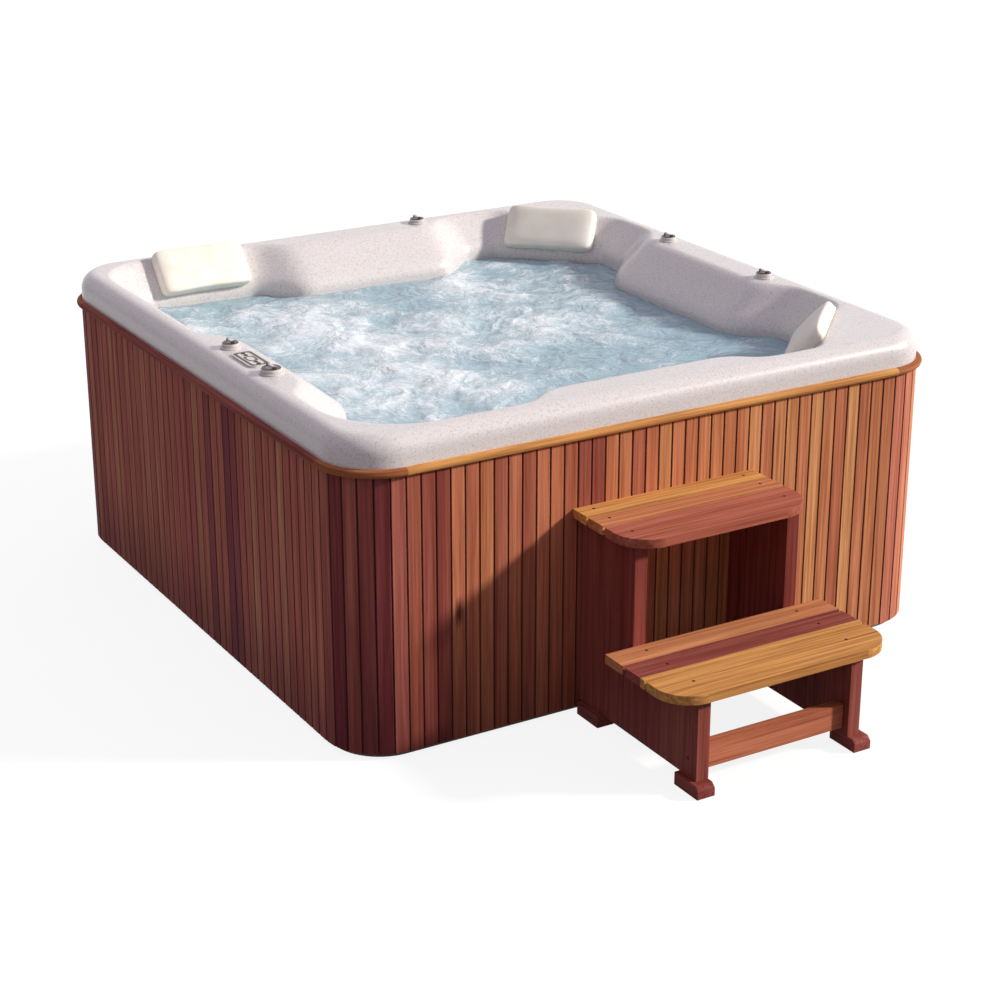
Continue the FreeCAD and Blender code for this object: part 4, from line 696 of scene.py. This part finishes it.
def prism(outline, middle, out, half):
    """Points and faces of a straight prism: an outline across the direction `out`, from -half to half."""
    out = Vector(out)
    side = Vector((0, 0, 1)).cross(out) if abs(out.z) < 0.5 else Vector((1, 0, 0))
    axes = np.array([side, out.cross(side)])
    ring = outline @ axes + np.array(middle)
    count = len(outline)
    points = np.vstack([ring - half * np.array(out), ring + half * np.array(out)])
    faces = grid_faces(2, count).tolist()
    return points, faces + [list(range(count))[::-1], list(range(count, 2 * count))]


def circle(radius, count=40):
    angle = np.arange(count) * 2 * math.pi / count
    return radius * np.column_stack([np.cos(angle), np.sin(angle)])


def oblong(wide, tall):
    return np.array([(-1, -1), (1, -1), (1, 1), (-1, 1)]) * np.array([wide, tall]) / 2


AIR_KNOBS = ("air_knob_back", "air_knob_right_back", "air_knob_right_front", "air_knob_left")
# Radii of the round holes, sizes of the oblong ones, and half the depth drilled for knobs and for the rest
AIR_HOLE, DIVERTER_HOLE, JET_HOLE = 0.0205, 0.0245, 0.0285
KEYPAD_HOLE, SKIMMER_HOLE = (0.051, 0.139), (0.160, 0.094)
KNOB_DRILL, DRILL = 0.040, 0.030
# The skimmer's mouth, the footwell wall with the suctions, and their cover's radius
SKIMMER_MOUTH, SUCTION_WALL, SUCTION_COVER = (-0.565, -0.902, 0.816), -0.430, 0.050


def shell_holes():
    """Holes through the shell for the rim controls, jets, suctions and skimmer, where the nodes have them."""
    holes = [(circle(AIR_HOLE), middle_of(name), (0, 0, 1), KNOB_DRILL) for name in AIR_KNOBS]
    holes.append((circle(DIVERTER_HOLE), middle_of("diverter_knob"), (0, 0, 1), KNOB_DRILL))
    holes.append((oblong(*KEYPAD_HOLE), middle_of("keypad_bezel"), (0, 0, 1), DRILL))
    for number, out in enumerate(((0, -1, 0), (0, -1, 0), (-1, 0, 0), (-1, 0, 0)), 1):
        holes.append((circle(JET_HOLE), middle_of(f"jet_face_{number}"), out, DRILL))
    low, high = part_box("suction_covers")
    for y in (low.y + SUCTION_COVER, high.y - SUCTION_COVER):
        holes.append((circle(JET_HOLE), Vector((SUCTION_WALL, y, (low.z + high.z) / 2)), (1, 0, 0), DRILL))
    holes.append((oblong(*SKIMMER_HOLE), Vector(SKIMMER_MOUTH), (0, -1, 0), DRILL))
    return holes


def headrest_pad(headrest):
    """A flat-backed pad. Across its height each section is a rounded oblong, crowned in front; along its
    width the sections keep their height almost to the ends (a superellipse of power 10) and thin there."""
    station = np.sin(np.linspace(-0.5, 0.5, 41) * math.pi)[:, None]
    angle = np.arange(96)[None, :] * 2 * math.pi / 96
    tall = np.maximum(1 - np.abs(station) ** 10, 0) ** 0.1
    thick = 0.42 + 0.58 * np.maximum(1 - np.abs(station) ** 12, 0) ** 0.5
    across = np.sign(np.cos(angle)) * np.abs(np.cos(angle)) ** 0.2
    front = (1 + np.sign(np.sin(angle)) * np.abs(np.sin(angle)) ** 0.26) / 2
    crown = 1 - 0.06 * across ** 2
    points = np.stack(np.broadcast_arrays(station * headrest.width / 2, across * tall * headrest.height / 2,
                                          front * thick * crown * headrest.crown), axis=-1)
    rows, around = points.shape[:2]
    ends = [list(range(around))[::-1], list(range((rows - 1) * around, rows * around))]
    return points.reshape(-1, 3), grid_faces(rows, around).tolist() + ends


# The filling's pressure, the skin's stiffness, the frames they act for, and the passes that spread the move
PRESSURE, STIFFNESS, SWELL_FRAMES, SPREAD_PASSES = 4.0, 20.0, 20, 40


def swell(piece, most):
    """Lets the filling push the skin out: cloth under inner pressure. Each point's move is kept to `most`,
    then averaged with its neighbours' in passes, as a firm skin would spread it."""
    rest = np.zeros(len(piece.data.vertices) * 3)
    piece.data.vertices.foreach_get("co", rest)
    cloth = piece.modifiers.new("Filling", "CLOTH")
    cloth.settings.use_pressure = True
    cloth.settings.uniform_pressure_force = PRESSURE
    cloth.settings.bending_stiffness = STIFFNESS
    cloth.settings.effector_weights.gravity = 0.0
    for step in range(1, SWELL_FRAMES + 1):
        bpy.context.scene.frame_set(step)
    shown = piece.evaluated_get(bpy.context.evaluated_depsgraph_get())
    moved = np.zeros_like(rest)
    shown.data.vertices.foreach_get("co", moved)
    piece.modifiers.remove(cloth)
    bpy.context.scene.frame_set(1)
    step = (moved - rest).reshape(-1, 3)
    length = np.linalg.norm(step, axis=1, keepdims=True)
    step *= np.minimum(1.0, most / np.maximum(length, 1e-9))
    ends = np.zeros(len(piece.data.edges) * 2, dtype=np.int32)
    piece.data.edges.foreach_get("vertices", ends)
    ends = np.vstack([ends.reshape(-1, 2), ends.reshape(-1, 2)[:, ::-1]])
    count = np.bincount(ends[:, 0], minlength=len(step))
    for again in range(SPREAD_PASSES):
        step = np.column_stack([np.bincount(ends[:, 0], step[ends[:, 1], axis], len(step)) / count
                                for axis in range(3)])
    return rest.reshape(-1, 3) + step


# The head of a headrest's slope: distance in from the lip face, and out from the foot of the slope; and how
# far up the slope a headrest sits from its middle
HEAD_INSET, HEAD_RUN, HEADREST_LIFT = 0.075, 0.1, 0.004


def headrest_places(shell):
    """Foot and head of each headrest on its slope, and the direction of its width."""
    wall = LIP_HALF - shell.shoulder_width
    rim = LIP_HALF - HEAD_INSET
    base = RIM_TOP - shell.shoulder_drop
    lounge = middle_of("lounge_pillow").x
    cut, rim_cut = REACHES[0] / 2, (REACHES[0] + GROWTH[0] * HEAD_RUN) / 2
    places = [("lounge", (lounge, wall[1], base), (lounge, rim[1], RIM_TOP), (1.0, 0.0, 0.0))]
    for name, sign in (("back_corner", 1.0), ("front_corner", -1.0)):
        foot, head = wall - cut, rim - rim_cut
        places.append((name, (foot[0], sign * foot[1], base), (head[0], sign * head[1], RIM_TOP),
                       (sign * math.sqrt(0.5), -math.sqrt(0.5), 0.0)))
    return places


def ease_edges(names, width):
    """Rounds the sharp edges of CAD nodes as a router would."""
    for name in names:
        NODES[name].modifiers.new("Join", "WELD").merge_threshold = 0.00002
        bevel = NODES[name].modifiers.new("Ease", "BEVEL")
        bevel.width = width
        bevel.segments = 3
        bevel.limit_method = "ANGLE"
        bevel.angle_limit = math.radians(40)
        bevel.harden_normals = True


# Operators


class HOTTUB_OT_shell(bpy.types.Operator):
    """Make the moulded acrylic shell"""
    bl_idname = "hottub.shell"
    bl_label = "Shell"

    def execute(self, context):
        shell = context.scene.hot_tub.shell
        points, faces = capped_grid(shell_rows(shell, ShellLines(shell)))
        piece = add_piece("shell", points, faces, "tub", [pearl_acrylic(shell)], "acrylic")
        sheet = piece.modifiers.new("Sheet", "SOLIDIFY")
        sheet.thickness = shell.wall
        sheet.offset = -1.0
        points, faces = np.zeros((0, 3)), []
        for hole in shell_holes():
            more, hole_faces = prism(*hole)
            faces += [[corner + len(points) for corner in face] for face in hole_faces]
            points = np.vstack([points, more])
        drill = add_piece("drill", points, faces, "tub", [])
        cut = piece.modifiers.new("Holes", "BOOLEAN")
        cut.operation = "DIFFERENCE"
        cut.solver = "EXACT"
        cut.object = drill
        bake_modifiers(piece)
        bpy.data.objects.remove(drill)
        piece.data.set_sharp_from_angle(angle=math.radians(45))
        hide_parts("acrylic_shell")
        return {"FINISHED"}


# Where the jets' bubbles come up: x, y and reach
BOILS = np.array([(-0.40, -0.30, 0.36), (-0.30, 0.16, 0.28), (-0.45, 0.52, 0.34), (0.42, 0.58, 0.26),
                  (0.28, 0.08, 0.26)])


# The gap from the water to the wall, and how thick its skin is drawn
WATER_GAP, WATER_SKIN = 0.002, 0.030
# How many waves there are, the length of the shortest, and how many times as long the longest is
WAVES, SHORTEST_WAVE, WAVE_SPAN = 60, 0.035, 14


class HOTTUB_OT_water(bpy.types.Operator):
    """Fill the tub with churned water"""
    bl_idname = "hottub.water"
    bl_label = "Water"

    def execute(self, context):
        settings = context.scene.hot_tub
        line = ShellLines(settings.shell).basin(settings.shell.shoulder_width - WATER_GAP)
        shares = np.append(1.0, np.linspace(1, 0.02, 96))[:, None, None]
        level = np.full((len(shares), len(line), 1), settings.water.level)
        points, faces = capped_grid(np.concatenate([line[None] * shares, level], axis=2))
        air, height = self.air(points[:, :2]), self.waves(points[:, :2])
        points[:, 2] += settings.water.chop * height * (0.6 + 0.4 * air)
        points[:len(line), 2] = settings.water.level - WATER_SKIN
        faces.append(list(range(len(line)))[::-1])
        piece = add_piece("water_surface", points, faces, "tub", [aerated_water(settings.water)])
        froth = piece.data.attributes.new("froth", "FLOAT", "POINT")
        froth.data.foreach_set("value", np.clip(air + 0.6 * height, 0, 1).astype(np.float32))
        return {"FINISHED"}

    def air(self, places):
        """Share of air from 0 to 1: Gaussian humps over the boils, which add up to no more than 1."""
        away = np.linalg.norm(places[:, None] - BOILS[:, :2], axis=2) / BOILS[:, 2]
        return 1 - np.prod(1 - 0.75 * np.exp(-away ** 2), axis=1)

    def waves(self, places):
        """Height from -1 to 1: a sum of waves with sharp crests, of seeded random lengths and directions,
        over places that a longer wave has pushed aside."""
        chance = np.random.default_rng(7)
        length = SHORTEST_WAVE * WAVE_SPAN ** chance.uniform(0, 1, WAVES)
        heading = chance.uniform(0, 2 * math.pi, WAVES)
        pitch = 2 * math.pi / length * np.array([np.cos(heading), np.sin(heading)])
        bent = places + 0.03 * np.sin(places[:, ::-1] * 9.0 + np.array([0.7, 2.1]))
        phase = bent @ pitch + chance.uniform(0, 2 * math.pi, WAVES)
        height = (1 - 2 * np.abs(np.sin(phase / 2))) @ length ** 0.9
        height -= height.mean()
        return height / np.abs(height).max()


class HOTTUB_OT_headrests(bpy.types.Operator):
    """Make the three headrests"""
    bl_idname = "hottub.headrests"
    bl_label = "Headrests"

    def execute(self, context):
        settings = context.scene.hot_tub
        skin = headrest_skin(settings.headrest)
        form = self.form(settings.headrest)
        for name, foot, head, way in headrest_places(settings.shell):
            foot, head, way = Vector(foot), Vector(head), Vector(way)
            up = (head - foot).normalized()
            turn = Matrix([way, up, way.cross(up)]).transposed().to_4x4()
            mesh = form.copy()
            mesh.transform(Matrix.Translation((foot + head) / 2 + HEADREST_LIFT * up) @ turn)
            mesh.name = name + "_headrest"
            mesh.materials.append(skin)
            mesh.shade_smooth()
            piece = add_object(mesh)
            round_off = piece.modifiers.new("Round", "SUBSURF")
            round_off.levels = round_off.render_levels = 1
            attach(piece, "tub")
            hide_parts(name + "_pillow")
        bpy.data.meshes.remove(form)
        return {"FINISHED"}

    def form(self, headrest):
        """The pad, swollen by its filling, with its back pressed flat."""
        piece = add_piece("pad", *headrest_pad(headrest), "tub", [])
        even = piece.modifiers.new("Even", "REMESH")
        even.mode = "VOXEL"
        even.voxel_size = 0.004
        firm = piece.modifiers.new("Firm", "SMOOTH")
        firm.factor = 0.5
        firm.iterations = 6
        bake_modifiers(piece)
        points = swell(piece, headrest.swell)
        points[:, 2] = np.maximum(points[:, 2], 0.0)
        piece.data.vertices.foreach_set("co", points.ravel())
        piece.data.update()
        form = piece.data.copy()
        bpy.data.objects.remove(piece)
        return form


class HOTTUB_OT_skirt(bpy.types.Operator):
    """Finish the slatted skirt, its bead and the frame behind it"""
    bl_idname = "hottub.skirt"
    bl_label = "Skirt"

    def execute(self, context):
        wood = context.scene.hot_tub.wood
        black = context.scene.hot_tub.fitting.black
        dress(("front_slats", "back_slats"), oiled_cedar("cedar_front_and_back", wood, "x"))
        dress(("right_slats",), oiled_cedar("cedar_right", wood, "y"))
        # The left face and the corners carry a tint of painted shade colour
        dress(("access_slats",), oiled_cedar("cedar_left", wood, "y", LEFT_SHADE_TINT))
        dress(("corner_slats",), oiled_cedar("cedar_corners", wood, "corner", CORNER_SHADE_TINT))
        # The tones of each, the stretch of its grain and the direction across its boards
        for nodes, name, tones, grain, across in (
                # painted light and shade: the bead is amber on the lit front and right faces and plum on the
                # shaded left and back faces
                (("trim_rails",), "cedar_bead", (wood.plum, wood.amber), (2.4, 2.4, 140.0), (1, -1, 0)),
                (("trim_corners",), "cedar_bead_corners", (wood.bead,), (2.4, 2.4, 140.0), (1, -1, 0)),
                (("bottom_frame", "top_frame", "frame_posts"), "sawn_softwood", (wood.timber,),
                 (90.0, 90.0, 6.0), (1, 1, 0)),
                (("skirt_backing", "access_backing"), "backing_plywood", (wood.timber,), (40.0, 40.0, 4.0),
                 (1, 1, 0))):
            dress(nodes, cedar_board(name, tones, grain, across, (-2.2, 2.2)))
        dress(("base_pan",), moulded_plastic("base_pan_abs", black, 0.55, 260.0, 0.3))
        dress(("floor_blocks",), moulded_plastic("foam_block", linear("#D9D2B4"), 0.85, 160.0, 0.6))
        return {"FINISHED"}


class HOTTUB_OT_steps(bpy.types.Operator):
    """Finish the wooden steps"""
    bl_idname = "hottub.steps"
    bl_label = "Steps"

    def execute(self, context):
        wood = context.scene.hot_tub.wood
        along, upright = (2.4, 110.0, 110.0), (110.0, 110.0, 2.4)
        upper, lower = ((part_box(f"step_{name}_tread")[1].y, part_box(f"step_{name}_tread")[0].y)
                        for name in ("upper", "lower"))
        # The tones of each, the stretch of its grain, the direction across its boards and the tones' run
        for node, name, tones, grain, across, run in (
                ("step_upper_tread", "cedar_upper_tread", (wood.amber, wood.tan, wood.russet, wood.russet),
                 along, (0, 1, 0), upper),
                ("step_lower_tread", "cedar_lower_tread", (wood.tan, wood.plum, wood.amber, wood.amber),
                 along, (0, 1, 0), lower),
                ("step_rails", "cedar_rails", (wood.red,), along, (0, 0, 1), (0.0, 1.0)),
                # painted shade in part: the sides and feet take the darkest tones, for faces that stand in
                # shade
                ("step_sides", "cedar_step_sides", (wood.plum, wood.dark, wood.plum), upright, (0, 1, 0),
                 (-1.7, -1.07)),
                ("step_feet", "cedar_feet", (wood.dark, wood.plum), (110.0, 3.0, 110.0), (1, 0, 0),
                 (-0.4, 0.4)),
                ("step_plugs", "end_grain_plugs", (wood.groove,), (300.0, 300.0, 300.0), (1, 1, 0),
                 (-2.0, 2.0))):
            dress((node,), cedar_board(name, tones, grain, across, run))
        ease_edges(("step_upper_tread", "step_lower_tread"), 0.006)
        ease_edges(("step_sides", "step_rails", "step_feet"), 0.003)
        return {"FINISHED"}


class HOTTUB_OT_controls(bpy.types.Operator):
    """Finish the controls on the rim"""
    bl_idname = "hottub.controls"
    bl_label = "Rim controls"

    def execute(self, context):
        fitting = context.scene.hot_tub.fitting
        dress(("air_valve_bodies", "diverter_body"), moulded_plastic("collar_abs", fitting.collar, 0.35))
        for name in (*AIR_KNOBS, "diverter_knob"):
            dress((name,), ringed_knob(name + "_abs", fitting.collar, fitting.gap_shade, name))
        # The name of each finish, its colour, and the inset and width of its line of painted shade
        for node, name, light, inset, width in (
                ("keypad_bezel", "keypad_bezel_abs", fitting.collar, 0.010, 0.010),
                ("keypad_display", "display_polycarbonate", linear("#D8D3CC"), 0.004, 0.007)):
            dress((node,), shade_outlined_plate(name, light, fitting.gap_shade, node, inset, width))
        dress([f"keypad_button_{number}" for number in range(1, 5)],
              moulded_plastic("button_rubber", linear("#3A312C"), 0.65, 300.0, 0.2))
        return {"FINISHED"}


class HOTTUB_OT_plumbing(bpy.types.Operator):
    """Finish the jets, pump, heater, pipes, skimmer and filter"""
    bl_idname = "hottub.plumbing"
    bl_label = "Plumbing"

    def execute(self, context):
        fitting = context.scene.hot_tub.fitting
        # The name of each finish, its colour and roughness, and the grit and depth of its texture
        for nodes, finish in (
                (("jet_bodies", "suction_covers", "skimmer_box", "skimmer_weir"),
                 ("fitting_abs", fitting.collar, 0.35)),
                ([f"jet_face_{number}" for number in range(1, 5)], ("jet_abs", linear("#8E8A88"), 0.3)),
                (("jet_manifold", "pressure_pipe", "suction_pipe", "filter_pipe", "slice_valve_bodies"),
                 ("pipe_pvc", fitting.pipe, 0.32)),
                (("jet_hoses",), ("hose_vinyl", linear("#C9CDCB"), 0.3, 120.0, 0.2)),
                (("suction_gate_handle", "pressure_gate_handle"), ("handle_abs", fitting.handle, 0.4)),
                (("pump_motor",), ("motor_enamel", linear("#2E4A63"), 0.42, 300.0, 0.2)),
                (("pump_wet_end", "control_box"), ("case_abs", fitting.black, 0.45)),
                (("filter_cartridge",), ("filter_cloth", linear("#E8E6DE"), 0.9, 400.0, 0.5))):
            dress(nodes, moulded_plastic(*finish))
        dress(("pump_rotor",), brushed_steel("shaft_steel", fitting.steel, "X"))
        dress(("heater_tube",), brushed_steel("heater_steel", fitting.steel, "Y"))
        return {"FINISHED"}


# The camera's place, how far it looks down and how far it is turned
CAMERA_PLACE, CAMERA_DIP, CAMERA_TURN = (-3.5753, -6.1588, 3.0405), 0.3719, -0.5345
# Where the key lamp stands, how bright the floor looks, and the tint of the soft light
KEY_PLACE = Vector((0.778, -0.444, 0.449)) * 8.0
FLOOR_GLOW, SKY_TINT = 0.87, (1.02, 0.94, 1.12, 1.0)


class HOTTUB_OT_stage(bpy.types.Operator):
    """Add the studio floor, light and camera"""
    bl_idname = "hottub.stage"
    bl_label = "Studio"

    def execute(self, context):
        stage = context.scene.hot_tub.stage
        self.lay_floor(stage)
        self.light(context.scene, stage)
        lens = bpy.data.cameras.new("camera")
        lens.sensor_fit = "HORIZONTAL"
        lens.lens = stage.lens
        lens.clip_end = 200.0
        camera = add_object(lens)
        camera.location = CAMERA_PLACE
        camera.rotation_euler = (math.pi / 2 - CAMERA_DIP, 0.0, CAMERA_TURN)
        context.scene.camera = camera
        context.scene.view_settings.view_transform = "Standard"
        return {"FINISHED"}

    def lay_floor(self, stage):
        """A level disc of floor, 60 m across: rings about the middle, wider further out."""
        rings = 30.0 * np.linspace(1, 0.01, 24)[:, None, None] ** 2
        disc = np.concatenate([circle(1.0, 96)[None] * rings, np.zeros((24, 96, 1))], axis=2)
        # painted studio floor: even and matt, and bright to the eye so that the picture's ground is white
        material, tree, place = start_material("studio_floor_paint", Roughness=0.9, Emission_Color=grey(1.0))
        shade = add_node(tree, "TexNoise", {"Vector": place, "Scale": 2.0})
        paint = add_node(tree, "ValToRGB", (shade,), stops=((0.3, stage.floor), (0.7, linear("#6E6D6C"))))
        glow = add_node(tree, "Math", {0: seen_share(tree), 1: FLOOR_GLOW}, operation="MULTIPLY")
        tree.links.new(glow, tree.nodes["Principled BSDF"].inputs["Emission Strength"])
        floor = add_mesh("studio_floor", *capped_grid(disc), [finish_material(material, paint)])

    def light(self, scene, stage):
        """A soft far lamp to the right in front, and soft light all round that looks white to the camera."""
        lamp = bpy.data.lights.new("key_lamp", "SUN")
        lamp.angle = math.radians(6)
        lamp.color = (1.0, 0.965, 0.90)
        lamp.energy = stage.key
        key = add_object(lamp)
        key.location = KEY_PLACE
        key.rotation_euler = key.location.to_track_quat("Z", "Y").to_euler()
        world = bpy.data.worlds.new("studio")
        world.use_nodes = True
        scene.world = world
        tree = world.node_tree
        seen = seen_share(tree)
        rise = add_node(tree, "SeparateXYZ", {0: add_node(tree, "TexCoord", out="Generated")}, "Z")
        power = add_node(tree, "MapRange", (rise, 0.0, 1.0, stage.horizon, stage.sky))
        power = add_node(tree, "MapRange", (seen, 0.0, 1.0, power, 1.0))
        shade = add_node(tree, "Mix", {0: seen, 6: SKY_TINT, 7: grey(1.0)}, 2, data_type="RGBA")
        tree.links.new(shade, tree.nodes["Background"].inputs["Color"])
        tree.links.new(power, tree.nodes["Background"].inputs["Strength"])


OPERATORS = (HOTTUB_OT_shell, HOTTUB_OT_water, HOTTUB_OT_headrests, HOTTUB_OT_skirt, HOTTUB_OT_steps,
             HOTTUB_OT_controls, HOTTUB_OT_plumbing, HOTTUB_OT_stage)


class HOTTUB_PT_panel(bpy.types.Panel):
    """Sizes, colours and steps of the hot tub"""
    bl_idname = "HOTTUB_PT_panel"
    bl_label = "Hot tub"
    bl_space_type = "VIEW_3D"
    bl_region_type = "UI"
    bl_category = "Hot tub"

    def draw(self, context):
        settings = context.scene.hot_tub
        for group in ("shell", "water", "headrest", "wood", "fitting", "stage"):
            box = self.layout.box()
            box.label(text=group.capitalize())
            owner = getattr(settings, group)
            for name in owner.__annotations__:
                box.prop(owner, name)
        for kind in OPERATORS:
            self.layout.operator(kind.bl_idname)


CLASSES = (ShellSettings, WaterSettings, HeadrestSettings, WoodSettings, FittingSettings, StageSettings,
           HotTubSettings, *OPERATORS, HOTTUB_PT_panel)


def register():
    for kind in CLASSES:
        bpy.utils.register_class(kind)
    bpy.types.Scene.hot_tub = PointerProperty(type=HotTubSettings)


def unregister():
    del bpy.types.Scene.hot_tub
    for kind in reversed(CLASSES):
        bpy.utils.unregister_class(kind)


def main():
    register()
    for name in ("shell", "water", "headrests", "skirt", "steps", "controls", "plumbing", "stage"):
        if getattr(bpy.ops.hottub, name)() != {"FINISHED"}:
            raise RuntimeError(f"hottub.{name} did not finish")


if __name__ == "__main__":
    main()
